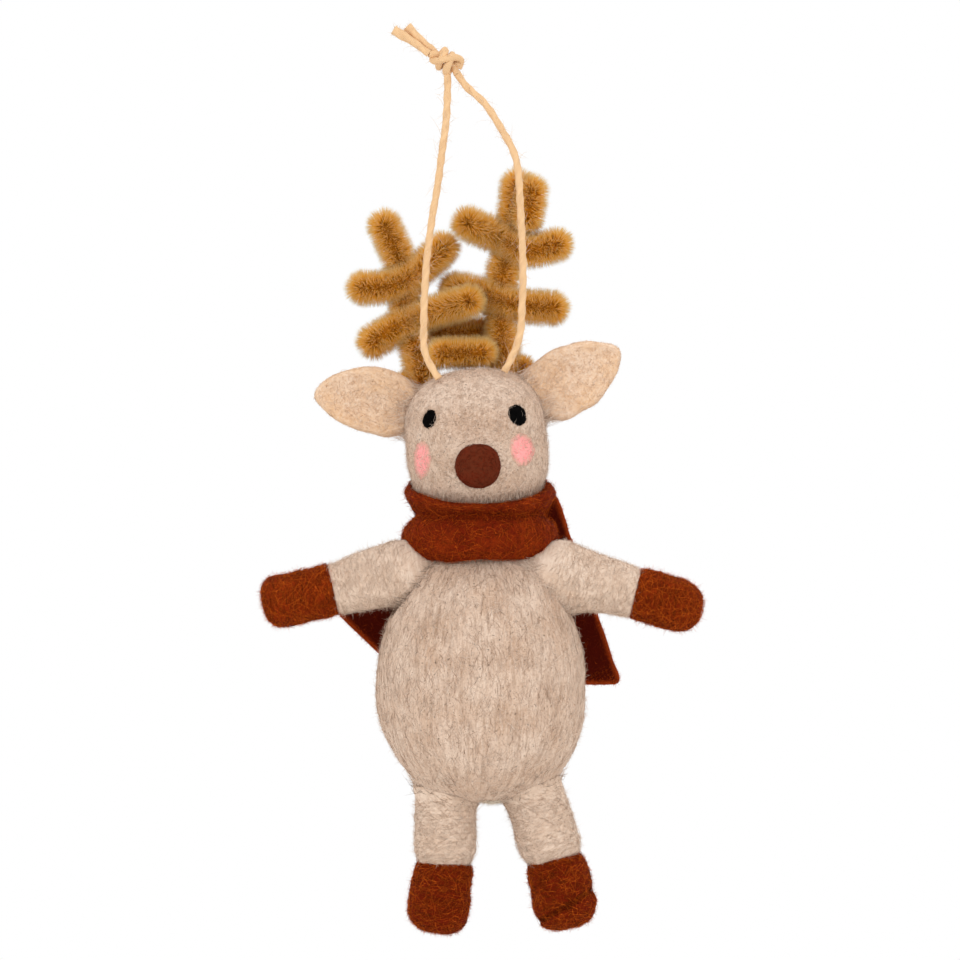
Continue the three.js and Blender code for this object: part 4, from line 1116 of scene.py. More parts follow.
def rim_fuzz(piece, body, seed, root, way, reach, count):
    """Hairs at the open rim of a mitten or boot that run past it onto the limb."""
    chance = np.random.default_rng(seed)
    places, outward = Surface(piece).scatter(
        chance, count, lambda places, outward: np.abs((places - root) @ way - 0.9) < 0.9
    )
    run = across_from(unit(0.7 * chance.normal(size=(count, 3)) - way), outward)
    step = reach * chance.uniform(0.3, 1.0, (count, 1)) / 2
    first = places + run * step + outward * 0.22
    spines = np.stack([places - outward * 0.1, first, first + run * step - outward * 0.1], axis=1)
    tones = 0.5 + 0.25 * chance.normal(size=count)
    tufts = [(spines, millimetres("hair"), tones)]
    settle_hairs(f"{piece.name}_rim_fuzz", tufts, "loose rust fibre", seed, body)


def twine_piece(name, points, seed, fray=0.0):
    """A length of two-ply twine along a route, its furrows winding round it. Returns it and its middle
    line."""
    radius = millimetres("twine_radius")
    path = smooth_path(points, TWINE_STEP)
    turn = FULL_TURN / PLY_PITCH
    whole = path_length(path)

    def reach(place, angle):
        """The twine is thick on its plies, uneven, and wider where its end is frayed."""
        wound = np.cos(angle - place * turn) ** 2
        uneven = 1 + 0.06 * lumps(np.stack([place, np.cos(angle), np.sin(angle)], axis=-1), 1.1, seed)
        open_end = 1 + fray * np.clip(1 - (whole - place) / FRAYED_LENGTH, 0, 1)
        return radius * (0.88 + 0.14 * wound) * uneven * open_end

    piece, place, angle = tube_mesh(name, path, reach, TWINE_SIDES)
    wound = angle - place * turn
    ply = np.stack([place * 0.14, radius * np.cos(wound) + 7 * seed, radius * np.sin(wound)], axis=1)
    return clad(piece, "jute twine", ply=ply, furrow=np.sin(wound) ** 2), path


def twine_node(node, points, seed, fray=0.0, body="hanger"):
    """Lays one of the part's lengths of twine in the place of its solid. Returns it and its middle line."""
    piece, path = twine_piece(f"{node}_twine", points, seed, fray)
    return settle_piece(piece, body, [node]), path


def twine_hairs(name, paths, per_millimetre, longest, seed):
    """Stray jute hairs along lengths of twine."""
    chance = np.random.default_rng(seed)
    tufts = []
    for path in paths:
        ahead, across, third = path_frames(path)
        count = int(path_length(path) * per_millimetre)
        spot = chance.integers(0, len(path), count)
        angle = chance.uniform(0, FULL_TURN, (count, 1))
        outward = across[spot] * np.cos(angle) + third[spot] * np.sin(angle)
        along = ahead[spot] * np.sign(chance.normal(size=(count, 1)))
        reach = longest * chance.beta(1.2, 3.5, (count, 1)) + 0.4
        bend = unit(chance.normal(size=(count, 3)))
        root = path[spot] + outward * millimetres("twine_radius") * 0.75
        first = root + unit(along * 1.2 + outward * 0.7) * reach * 0.35
        second = first + unit(along + outward + bend * 0.5) * reach * 0.35
        tip = second + unit(along * 0.5 + outward + bend) * reach * 0.35
        spines = np.stack([root, first, second, tip], axis=1)
        tufts.append((spines, chance.uniform(0.05, 0.1, count), chance.normal(0.62, 0.2, count)))
    settle_hairs(name, tufts, "loose jute fibre", seed, "hanger")


def knot_routes():
    """The routes of the twine in an overhand knot: its turns, a crossing bight and two lengths inside."""
    along = np.array([-math.cos(KNOT_LEAN), 0, math.sin(KNOT_LEAN)])
    front = np.array([0, -1.0, 0])
    across = np.cross(along, front)

    def place(forward, radius, angle):
        """A place so far along the knot, out from its middle and round it."""
        return KNOT_CENTRE + along * forward + (front * math.cos(angle) + across * math.sin(angle)) * radius

    turns = []
    for share in np.linspace(0, 1, 26):
        tuck = min(1, share / 0.1, (1 - share) / 0.1)
        turns.append(place(-2.1 + 4.0 * share, 0.5 + 1.25 * tuck, FULL_TURN * KNOT_TURNS * share + 1.2))
    bight = [
        place(-2.6, 0.6, 2.6), place(-2.3, 1.8, 1.7), place(-1.2, 2.25, 0.9), place(0.2, 2.3, 0.2),
        place(1.5, 2.0, -0.6), place(2.4, 1.3, -1.4), place(2.5, 0.4, -2.2),
    ]
    lengths = [
        [LEFT_STRAND[-1], place(0, 0.6, -1.0), UPPER_TAIL[0]],
        [RIGHT_STRAND[-1], place(0, 0.6, 2.1), LOWER_TAIL[0]],
    ]
    return [turns, bight, *lengths]


def join_pieces(name, pieces):
    """Joins pieces into one."""
    bpy.ops.object.select_all(action="DESELECT")
    for piece in pieces:
        piece.select_set(True)
    bpy.context.view_layer.objects.active = pieces[0]
    bpy.ops.object.join()
    joined = bpy.context.object
    joined.name = joined.data.name = name
    return joined


class ORNAMENT_OT_stage(bpy.types.Operator):
    """Sets the camera, the lamps, the white surround and a pale floor below the hanging figure."""

    bl_idname = "ornament.stage"
    bl_label = "Stage"

    def surround(self, world):
        """White to the camera and in reflections, a little dimmer as light on the figure."""
        world.use_nodes = True
        world.node_tree.nodes.clear()
        rays = add_node(world, "ShaderNodeLightPath", {}).outputs
        seen = reckoned(world, "MAXIMUM", rays["Is Camera Ray"], rays["Is Glossy Ray"])
        seen = reckoned(world, "MAXIMUM", seen, rays["Is Transmission Ray"])
        inputs = {"Color": (1, 1, 1, 1), "Strength": ranged(world, seen, start=0.92)}
        white = add_node(world, "ShaderNodeBackground", inputs)
        add_node(world, "ShaderNodeOutputWorld", {"Surface": white.outputs["Background"]})

    def execute(self, context):
        scene = context.scene
        scene.view_settings.view_transform = "Standard"
        camera = bpy.data.objects.new("camera", bpy.data.cameras.new("camera"))
        scene.collection.objects.link(camera)
        camera.data.sensor_width = 36
        camera.data.lens = CAMERA_LENS
        camera.data.clip_end = 20
        camera.location = CAMERA_PLACE
        camera.rotation_euler = (math.pi / 2, 0, 0)
        scene.camera = camera
        for name, (place, size, watts) in LAMPS.items():
            lamp = bpy.data.objects.new(name, bpy.data.lights.new(name, "AREA"))
            scene.collection.objects.link(lamp)
            lamp.data.size = size
            lamp.data.energy = watts
            lamp.location = place
            lamp.rotation_euler = (Vector(LAMP_TARGET) - Vector(place)).to_track_quat("-Z", "Y").to_euler()
        scene.world = bpy.data.worlds.new("white surround")
        self.surround(scene.world)
        floor = added_piece(
            "floor", bpy.ops.mesh.primitive_cylinder_add,
            vertices=128, radius=FLOOR_RADIUS, depth=FLOOR_DEPTH, location=FLOOR_PLACE,
        )
        bpy.ops.object.mode_set(mode="EDIT")
        bpy.ops.mesh.select_all(action="SELECT")
        bpy.ops.mesh.bevel(offset=FLOOR_BEVEL, segments=3, affect="EDGES")
        bpy.ops.object.mode_set(mode="OBJECT")
        bpy.ops.object.transform_apply(location=True, rotation=True, scale=True)
        clad(floor, "matt white board")
        return {"FINISHED"}


class ORNAMENT_OT_hanger(bpy.types.Operator):
    """Lays the twine loop: two strands up from the head, the overhand knot, its two tails and stray hairs."""

    bl_idname = "ornament.hanger"
    bl_label = "Twine hanger"

    def execute(self, context):
        routes = knot_routes()
        turns = [twine_piece(f"knot_turn_{i}", route, 11 + i)[0] for i, route in enumerate(routes)]
        knot = join_pieces("hanger_knot_twine", turns)
        settle_piece(knot, "hanger", ["hanger_knot"])
        upper, upper_path = twine_node("hanger_tail_upper", UPPER_TAIL, 21, TAIL_FRAY)
        lower, lower_path = twine_node("hanger_tail_lower", LOWER_TAIL, 22, TAIL_FRAY)
        paths = []
        strands = {"left": (LEFT_STRAND, [upper, knot]), "right": (RIGHT_STRAND, [lower])}
        for seed, (side, (route, beyond)) in enumerate(strands.items(), 31):
            strand, path = twine_node(f"hanger_strand_{side}", route, seed)
            path_length(path) * MM
            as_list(beyond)
            paths.append(path)
        twine_hairs("hanger_hairs", [*paths, upper_path, lower_path], 4.6, 6.0, 41)
        twine_hairs("hanger_long_hairs", [path[:100] for path in paths], 1.0, 11.0, 44)
        frayed = [path[-8:] for path in (upper_path, lower_path)]
        twine_hairs("hanger_frayed_ends", [*frayed, *frayed], 18, 2.2, 42)
        outer = [smooth_path(route, TWINE_STEP) for route in routes[:2]]
        twine_hairs("hanger_knot_hairs", outer, 6.0, 1.8, 43)
        twine_node("hanger_stitch", STITCH, 51, body="head")
        return {"FINISHED"}


class ORNAMENT_OT_head(bpy.types.Operator):
    """Felts the head with its muzzle round a pale core, and sets its fuzz."""

    bl_idname = "ornament.head"
    bl_label = "Head"

    def bare(self, places, outward):
        """The face is left clear where the eyes and nose go, and the neck under the scarf."""
        spots = from_head(places)
        clear = np.ones(len(places), bool)
        for x, z, wide, high in BARE_SPOTS:
            clear &= ((spots[:, 0] - x) / wide) ** 2 + ((spots[:, 2] - z) / high) ** 2 > 1
        return (clear | (spots[:, 1] > 0)) & above_scarf(places)

    def execute(self, context):
        head, way = ball_start("head_wool", 144, 108)
        points = way * head_reach(way)[:, None]
        uneven = ripple(points, (0.9, 8, 1), (0.3, 2.2, 2))
        points = on_head(points + way * millimetres("lump") * uneven[:, None])
        felt_piece(
            head, points, "needle-felted greige wool", "head", "greige_wool", "head_shell", fill=0.9,
            comb=points * np.array([0.8, 0.8, 0.5]),
        )
        core, way = ball_start("head_core_wool", 40, 28)
        points = way * np.minimum(head_reach(way) - HEAD_WALL - 0.8, HEAD_CORE_REACH)[:, None]
        points = on_head(points + way * 0.3 * lumps(points, 4, 3)[:, None])
        felt_piece(
            core, points, "unbleached core wool", "head", "pale_core", "head_core", fill=0.9, comb=points
        )
        wool_fuzz(
            head, "head", "greige_wool", "loose greige fibre", 101, any_way(102), reach=1.2, lying=5600,
            standing=6400, loose=2400, keep=self.bare, stand=0.75, middle=0.6, spread=0.3, flecks=0.08,
            thin=0.9, lock=1.4,
        )
        return {"FINISHED"}


class ORNAMENT_OT_face(bpy.types.Operator):
    """Needles the eyes and cheeks into the face and sets the nose."""

    bl_idname = "ornament.face"
    bl_label = "Face"

    def patch(self, name, skin, spot, half, lean, lift, look, slot, fill, seed):
        """A thin patch that follows the face: a ball pressed onto it from the front."""
        piece, way = ball_start(f"{name}_wool", 40, 20)
        angle = np.arctan2(way[:, 1], way[:, 0])
        edge = 1 + 0.07 * lumps(np.stack([np.cos(angle), np.sin(angle), 0 * angle], axis=1) * 2, 1, seed)
        across, up = way[:, 0] * half[0] * edge, way[:, 1] * half[1] * edge
        lean = math.radians(lean)
        x = spot[0] + across * math.cos(lean) + up * math.sin(lean)
        z = spot[1] - across * math.sin(lean) + up * math.cos(lean)
        starts = on_head(np.stack([x, np.full_like(x, FACE_FRONT), z], axis=1))
        points = np.empty_like(starts)
        for i, start in enumerate(starts):
            place, outward = skin.tree.ray_cast(start, (0, 1, 0))[:2]
            height = (lift if way[i, 2] > 0 else PATCH_DEPTH) * way[i, 2]
            points[i] = np.array(place) + np.array(outward) * height
        points += 0.05 * lumps(points, 0.7, seed)[:, None] * np.array([0, -1, 0])
        return felt_piece(piece, points, look, "head", slot, name, fill, rim=np.hypot(way[:, 0], way[:, 1]))

    def execute(self, context):
        skin = Surface(bpy.data.objects["head_wool"])
        for seed, (name, (spot, half, lean)) in enumerate(EYES.items(), 201):
            eye = self.patch(
                name, skin, spot, half, lean, EYE_LIFT, "black needled wool", "black_felt", 0.8, seed
            )
            middle = points_of(eye).mean(axis=0)
            wool_fuzz(
                eye, "head", "black_felt", "loose black fibre", seed, any_way(seed), reach=0.9, lying=160,
                standing=320, stand=0.35,
                keep=lambda places, outward: np.hypot(*((places - middle)[:, ::2] / half).T) < 0.95,
            )
        for seed, (name, (spot, half, lean)) in enumerate(CHEEKS.items(), 211):
            cheek = self.patch(
                name, skin, spot, half, lean, CHEEK_LIFT, "pink needled wool", "pink_felt", 0.6, seed
            )
            wool_fuzz(
                cheek, "head", "pink_felt", "loose pink fibre", seed, any_way(seed), reach=1.4, lying=220,
                standing=60, stand=0.4,
            )
        nose, way = ball_start("nose_felt", 72, 48)
        points = way * NOSE_HALF
        points = points + way * ripple(points, (0.22, 4.5, 7), (0.06, 1.2, 8))[:, None]
        points = on_head(points + NOSE_CENTRE)
        felt_piece(nose, points, "brown nose felt", "head", "brown_felt", "nose", fill=1.0, comb=points)
        wool_fuzz(
            nose, "head", "brown_felt", "loose brown fibre", 221, any_way(222), reach=1.6, lying=800,
            standing=500, stand=0.22,
        )
        return {"FINISHED"}


class ORNAMENT_OT_ears(bpy.types.Operator):
    """Presses the two felt leaves of the ears, cupped to the front."""

    bl_idname = "ornament.ears"
    bl_label = "Ears"

    def leaf(self, ear, seed):
        """The form of one ear, for a pillow: a leaf that widens from its root, cupped, with a dent."""
        half = EAR_WIDTH / 2
        corners = np.array([
            (-EAR_ROOT_RADIUS, half * 0.55), (EAR_LENGTH * 0.3, half * 1.45),
            (EAR_LENGTH * 0.93, half * 0.78), (EAR_LENGTH, 0.3),
        ])
        side, height, rise = ear["side"], ear["height"], math.radians(ear["rise"])
        reach = HEAD_HALF[0] * (1 - (height / HEAD_HALF[2]) ** CROWN_POWER) ** (1 / CROWN_POWER)
        pivot = np.array([side * reach, EAR_SETBACK, height])

        def shape(u, v, layer):
            """Points along the leaf by u and across it by v."""
            weights = np.stack([(1 - u) ** 3, 3 * u * (1 - u) ** 2, 3 * u ** 2 * (1 - u), u ** 3], axis=1)
            along, wide = (weights @ corners).T
            share = 2 * v - 1
            low = ear["low_root"] + (ear["low_tip"] - ear["low_root"]) * np.clip(1.2 * u, 0, 1)
            wide = wide * np.where(share < 0, low, ear["high"])
            across = wide * share
            edge = np.minimum((1 - np.abs(share)) * wide, (1 - u) * EAR_LENGTH)
            inner = np.minimum(edge / EAR_EDGE, 1)
            thick = EAR_THICKNESS / 2 * np.sqrt(np.clip(1 - (1 - inner) ** 2, 0, 1))
            cup = -1.3 * share ** 2 * np.sin(math.pi * np.clip(u, 0, 1)) ** 0.8
            dent = 0.7 * np.exp(-((u - 0.36) / 0.2) ** 2 - (share / 0.45) ** 2)
            depth = cup + dent - layer * thick
            lean = along * side
            points = np.stack([
                lean * math.cos(rise) - side * across * math.sin(rise), depth,
                side * lean * math.sin(rise) + across * math.cos(rise),
            ], axis=1)
            flat = np.stack([along, across, np.zeros_like(along)], axis=1)
            points[:, 1] += ripple(flat, (0.25, 5, seed), (0.1, 1.6, seed + 9))
            points[:, 2] += 0.3 * lumps(flat, 3.5, seed + 5) * np.abs(share)
            points = clear_of_head(on_head(points + pivot), 0.15)
            offset = from_head(points)
            gap = np.linalg.norm(offset, axis=1) - head_reach(unit(offset))
            points[:, 1] -= layer * 1.6 * blend_rise(gap, EAR_BLEND) * inner
            return points

        return shape

    def execute(self, context):
        head = bpy.data.objects["head_wool"]
        for seed, (name, ear) in enumerate(EARS.items(), 301):
            body = f"ear_{name}"
            piece = pillow_mesh(f"{body}_felt", self.leaf(ear, seed), 60, 48)
            if ear["side"] < 0:
                piece.data.flip_normals()
            clad(piece, "pressed ear felt", comb=points_of(piece) * 0.8)
            settle_piece(piece, body, [body])
            wool_fuzz(
                piece, body, "ear_felt", "loose ear fibre", seed, any_way(seed), reach=1.2, lying=2200,
                standing=2800, loose=400, stand=0.4, middle=0.58, flecks=0.0, thin=0.8, lock=1.2,
            )
            rise = math.radians(ear["rise"])
            toward = np.array([ear["side"] * math.cos(rise), -0.3, math.sin(rise)])
            joining_fuzz(
                f"{body}_root_fuzz", head, piece, "head", "loose greige fibre", seed + 40, toward, 500
            )
        return {"FINISHED"}


class ORNAMENT_OT_antlers(bpy.types.Operator):
    """Bends the chenille stems of the antlers and sets their pile."""

    bl_idname = "ornament.antlers"
    bl_label = "Antlers"

    def beam_at(self, base, offsets, height):
        """The point of a beam at a height above its base."""
        line = smooth_path(base + np.array(offsets), 0.1)
        return np.array([np.interp(base[2] + height, line[:, 2], line[:, i]) for i in range(3)])

    def routes(self):
        """The middle line and radius of each stem."""
        bases = {"left": (LEFT_BASE, LEFT_BEAM), "right": (RIGHT_BASE, RIGHT_BEAM)}
        routes = {}
        for side, (base, offsets) in bases.items():
            routes[f"antler_beam_{side}"] = (base + np.array(offsets), STEM_RADIUS)
        for name, (side, height, wrap, outer, inner) in CROSS_STEMS.items():
            middle = self.beam_at(*bases[side], height)
            away = math.copysign(1, outer[0])
            offsets = [outer, (away * 3.2, -WRAP_DEPTH, -0.8), (-away * wrap[0], -wrap[1], 1.6), inner]
            routes[name] = (middle + np.array(offsets), STEM_RADIUS)
        for name, (height, depth) in BRIDGES.items():
            left = self.beam_at(*bases["left"], height)
            right = self.beam_at(*bases["right"], left[2] - RIGHT_BASE[2])
            points = [
                left + (0.6 * STEM_RADIUS, 0.9 * depth, 0), left + (1.6 * STEM_RADIUS, depth, 0),
                right + (-1.6 * STEM_RADIUS, depth, 0), right + (-0.4 * STEM_RADIUS, 0.9 * depth, 0),
            ]
            routes[name] = (points, BRIDGE_RADIUS)
        for side, (base, _) in bases.items():
            away = -1 if side == "left" else 1
            start = base + np.array([away * STEM_RADIUS / 2, 0, 2])
            routes[f"antler_stub_{side}"] = ([start, start + np.array([away * 4.4, 0, 1])], STUB_RADIUS)
        routes["antler_fold_right"] = (RIGHT_BASE + np.array(RIGHT_FOLD), STEM_RADIUS)
        return routes

    def trimmed(self, path, start, end):
        """A line without its first and last few millimetres."""
        walked = walked_along(path)
        return path[(walked >= start) & (walked <= walked[-1] - end)]

    def pile(self, name, path, radius, rooted, seed):
        """The pile of one stem: hairs held between two twisted wires, all round it and over its free ends."""
        chance = np.random.default_rng(seed)
        frames = path_frames(path)
        ahead = frames[0]
        whole = path_length(path)
        count = int(whole * FULL_TURN * radius * PILE_DENSITY)
        place = chance.uniform(0, 1, count)
        spot = place * (len(path) - 1)
        middles, forward, side, up = (
            np.stack([np.interp(spot, np.arange(len(path)), values[:, i]) for i in range(3)], axis=1)
            for values in (path, *frames)
        )
        # The pile fans out from both sides of the pair of wires
        turn = FULL_TURN * place * whole / WIRE_PITCH + math.pi * chance.integers(0, 2, count)
        angle = (turn + chance.normal(0, 0.9, count))[:, None]
        ways = unit(side) * np.cos(angle) + unit(up) * np.sin(angle)
        ways = ways + unit(forward) * chance.normal(0, 0.12, (count, 1))
        for end, along in ((path[-1], ahead[-1]), (path[0], -ahead[0]))[:1 if rooted else 2]:
            over = unit(chance.normal(size=(int(FULL_TURN * radius ** 2 * PILE_DENSITY), 3)))
            over = np.where((over @ along)[:, None] < 0, -over, over)
            middles = np.concatenate([middles, np.broadcast_to(end, over.shape)])
            ways = np.concatenate([ways, over])
        ways = unit(ways)
        count = len(ways)
        uneven = 0.05 * chance.normal(size=count) + 0.06 * lumps(middles + ways * 3, 1.6, seed)
        bend = unit(chance.normal(size=(count, 3))) * 0.12
        roots = middles + ways * radius * 0.35
        tips = middles + unit(ways + bend) * (radius * (1.26 + uneven))[:, None]
        tones = 0.62 + 0.15 * chance.normal(size=count) + 0.25 * lumps(middles + ways * 2, 2.5, seed + 1)
        thickness = millimetres("pile_hair") * chance.uniform(0.75, 1.25, count)
        tufts = [(np.stack([roots, tips], axis=1), thickness, tones)]
        return hair_piece(f"{name}_pile", tufts, "chenille pile", seed)

    def inside(self, name, path, radius, rooted, seed):
        """The dense inside of the pile, which hides the wires: a rounded rod with the pile's grain and
        turns."""
        whole = path_length(path)
        turn = FULL_TURN / WIRE_PITCH

        def grain(place, angle):
            """The unevenness of the pile round the stem."""
            return lumps(np.stack([place, 1.6 * np.cos(angle), 1.6 * np.sin(angle)], axis=-1), 0.8, seed)

        def reach(place, angle):
            """The rod's radius, rounded at its free ends."""
            from_end = whole - place if rooted else np.minimum(place, whole - place)
            rounding = np.sqrt(1 - (1 - np.clip(from_end / radius + 0.02, 0, 1)) ** 2)
            furrow = np.cos(angle - place * turn) ** 2
            return radius * (1 + 0.1 * grain(place, angle) - 0.07 * furrow) * rounding

        rod, place, angle = tube_mesh(f"{name}_core", path, reach, 28)
        uneven = grain(place, angle)
        tone = np.clip(0.5 + 0.3 * uneven, 0, 1)
        # The rod takes the dark root colours, darkest in the furrows between the wire turns, as painted shade
        # deep in the pile
        depth = 0.12 + 0.1 * uneven - 0.08 * np.cos(angle - place * turn) ** 2
        return clad(rod, "chenille pile", hair_tone=tone, hair_along=np.clip(depth, 0, 1))

    def execute(self, context):
        for seed, (name, (points, radius)) in enumerate(self.routes().items(), 401):
            rooted = "beam" in name or "stub" in name
            path = smooth_path(points, STEM_STEP)
            depth = 0.5 * radius
            middle = self.trimmed(path, 0 if rooted else depth, depth)
            rod = self.inside(name, middle, radius - depth, rooted, seed)
            settle_piece(rod, "antlers")
            middle = self.trimmed(path, 0 if rooted else radius, radius)
            stands_for = [name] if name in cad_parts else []
            pile = self.pile(name, middle, radius, rooted, seed)
            settle_piece(pile, "antlers", stands_for)
        return {"FINISHED"}


class ORNAMENT_OT_torso(bpy.types.Operator):
    """Felts the egg of the torso with its neck, its combed surface and the pale core that shows below."""

    bl_idname = "ornament.torso"
    bl_label = "Torso"

    def open_part(self, places, outward):
        """Hairs stay off the neck under the scarf, and out of the sockets."""
        free = places[:, 2] < COVERED_HEIGHT
        for centre, radius in limb_balls():
            free &= ((places - centre) ** 2).sum(axis=1) > (radius + 0.15) ** 2
        return free

    def scarf_edge_shade(self, places):
        """More dark fibres in front, in a band under the scarf's edge: painted shade of the scarf."""
        return 0.07 + 0.5 * np.exp(-((places[:, 2] - SCARF_SHADE_HEIGHT) / 2.2) ** 2) * (places[:, 1] < 0)

    def execute(self, context):
        torso, way = ball_start("torso_wool", 200, 150)
        points = way * torso_reach(way)[:, None]
        angle = np.arctan2(way[:, 1], way[:, 0])
        comb = np.stack([20 * np.cos(angle + 0.6), 20 * np.sin(angle + 0.6), 0.16 * points[:, 2]], axis=1)
        ridges = ripple(comb, (0.07, 1.5, 11), (0.16, 4, 12))
        uneven = millimetres("lump") * ripple(points, (1, 9, 13), (0.35, 3, 14)) + ridges
        # The wool sits a little flatter low down on the left
        flat = np.exp(-((way - unit(np.array([-0.776, 0, -0.63]))) ** 2).sum(axis=1) / 0.14)
        reach = torso_reach(way) + uneven - 1.5 * flat
        rise = sum(blend_rise(gap, width) for gap, width in limb_gaps(TORSO_CENTRE + way * reach[:, None]))
        reach = hollow_for_limbs(way, reach + rise)
        felt_piece(
            torso, TORSO_CENTRE + way * reach[:, None], "needle-felted greige wool", "torso", "greige_wool",
            "torso_shell", fill=0.9, comb=comb,
        )
        wool_fuzz(
            torso, "torso", "greige_wool", "loose greige fibre", 501, upright_way, reach=3.6, lying=6800,
            standing=5000, loose=3000, keep=self.open_part, stand=0.9, middle=0.66, spread=0.26,
            flecks=self.scarf_edge_shade,
        )
        core, way = ball_start("torso_core_wool", 64, 48)
        reach = hollow_for_limbs(way, np.maximum(torso_reach(way) - TORSO_WALL, 3)) - 2.0
        points = TORSO_CENTRE + way * reach[:, None]
        plug = np.hypot(points[:, 0] - CORE_PLUG_CENTRE[0], points[:, 1] - CORE_PLUG_CENTRE[1])
        below = (way[:, 2] < -0.5) & (plug < CORE_PLUG_RADIUS * 1.15)
        bottom = TORSO_CENTRE[2] - TORSO_BOTTOM - 0.5
        points[below, 2] = bottom + 0.12 * plug[below] ** 2 / 2
        points += 0.25 * lumps(points, 2.5, 15)[:, None] * way
        felt_piece(
            core, points, "unbleached core wool", "torso", "pale_core", "torso_core", fill=0.9, comb=points
        )
        wool_fuzz(
            core, "torso", "pale_core", "loose core fibre", 511, any_way(512), reach=2.0, lying=300,
            standing=260, loose=60, keep=lambda places, outward: places[:, 2] < bottom + 1.6, stand=0.8,
        )
        return {"FINISHED"}


def toward_torso(width):
    """A limb's wool rises to the torso where it enters it, over that width."""

    def rise(along, points):
        """How far it stands out beyond its profile."""
        offset = points - TORSO_CENTRE
        reach = np.linalg.norm(offset, axis=1)
        return blend_rise(reach - torso_reach(offset / reach[:, None]), width)

    return rise


def plain(along, points):
    """A limb that keeps to its profile."""
    return np.zeros(len(points))


def instep_line(along, points):
    """How far points on the right boot lie below the crease above its toe."""
    return along - 9.2 + 0.37 * (points[:, 0] - points[:, 0].mean())


def instep_shade_band(ankle, way):
    """Whether places on the right boot lie in its crease, where dark hairs are laid as painted shade."""
    return lambda places: np.abs(instep_line((places - ankle) @ way, places)) < 0.7


def instep(along, points):
    """A boot pinched in front by a slanting crease above its toe."""
    line = instep_line(along, points)
    front = np.clip(0.6 - (points[:, 1] - points[:, 1].mean()) / BOOT_RADIUS, 0, 1)
    return front * (0.5 * np.exp(-((line - 2.4) / 1.6) ** 2) - 1.1 * np.exp(-(line / 0.55) ** 2))


def wound_limb(node, body, look, slot, profile, pivot, way, pitch, seed, shape, uneven=0.26):
    """A limb wound with wool: a turned form with the ridges of the winding, uneven as hand winding is.
    shape(along, points) is how far it stands out beyond its profile."""
    piece, points, outward, along, angle = turned_start(f"{node}_wool", profile, pivot, way, 72, 104)
    wobble = 0.5 * lumps(np.stack([along, np.cos(angle), np.sin(angle)], axis=1), 1.2, seed)
    ridge = np.abs(np.sin(math.pi * (along + wobble) / pitch - angle / 2))
    height = 0.1 * ridge - 0.06 + uneven * ripple(points, (1, 4.5, seed + 1), (0.5, 1.8, seed + 2))
    points = points + outward * (height + shape(along, points))[:, None]
    comb = np.stack([along + 40 * seed, 1.1 * np.cos(angle), 1.1 * np.sin(angle)], axis=1)
    return felt_piece(piece, points, look, body, slot, node, fill=0.9, comb=comb)


def limb_profile(root, inner, end, reach, waist):
    """A rounded inner end round the pivot that runs through the waist into a taper with a rounded end."""
    turns = np.linspace(0, math.pi / 2, 9)
    ball = [(root * math.sin(turn), -inner * math.cos(turn)) for turn in turns]
    return [*ball, waist, (end, reach - 0.6), (end - 0.5, reach - 0.1), (0, reach)]


def tip_profile(mouth, radius, start, end, squareness):
    """Sides that widen from a rolled rim into a blunt round tip."""
    power = 2 / squareness
    tip = [
        (radius * math.cos(turn) ** power, end - radius + radius * math.sin(turn) ** power)
        for turn in np.linspace(0, math.pi / 2, 13)[:-1]
    ]
    rim = [(0, start + 0.3), (mouth - 1.2, start + 0.15), (mouth - 0.45, start), (mouth - 0.05, start + 0.5)]
    return [*rim, (mouth + 0.5 * (radius - mouth), start + 1.6), (radius, start + 4.4), *tip, (0, end)]


def wound_sleeve(node, body, profile, pivot, way, pitch, blend, seed, first, middle):
    """The greige winding of an arm or leg, with fuzz of a middle tone from a first distance along it."""
    sleeve = wound_limb(
        node, body, "wound greige wool", "greige_wool", profile, pivot, way, pitch, seed, toward_torso(blend)
    )
    wool_fuzz(
        sleeve, body, "greige_wool", "loose roving fibre", seed, round_way(way), reach=3.8, lying=2400,
        standing=2000, loose=700, keep=lambda places, outward: (places - pivot) @ way > first, stand=0.85,
        middle=middle, spread=0.32,
    )
    return sleeve


def rust_fuzz(piece, body, way, seed, reach, **tones):
    """The fuzz of a mitten or boot."""
    wool_fuzz(
        piece, body, "rust_felt", "loose rust fibre", seed, round_way(way), reach, lying=2400, standing=2400,
        loose=700, spread=0.4, lock=1.9, **tones,
    )


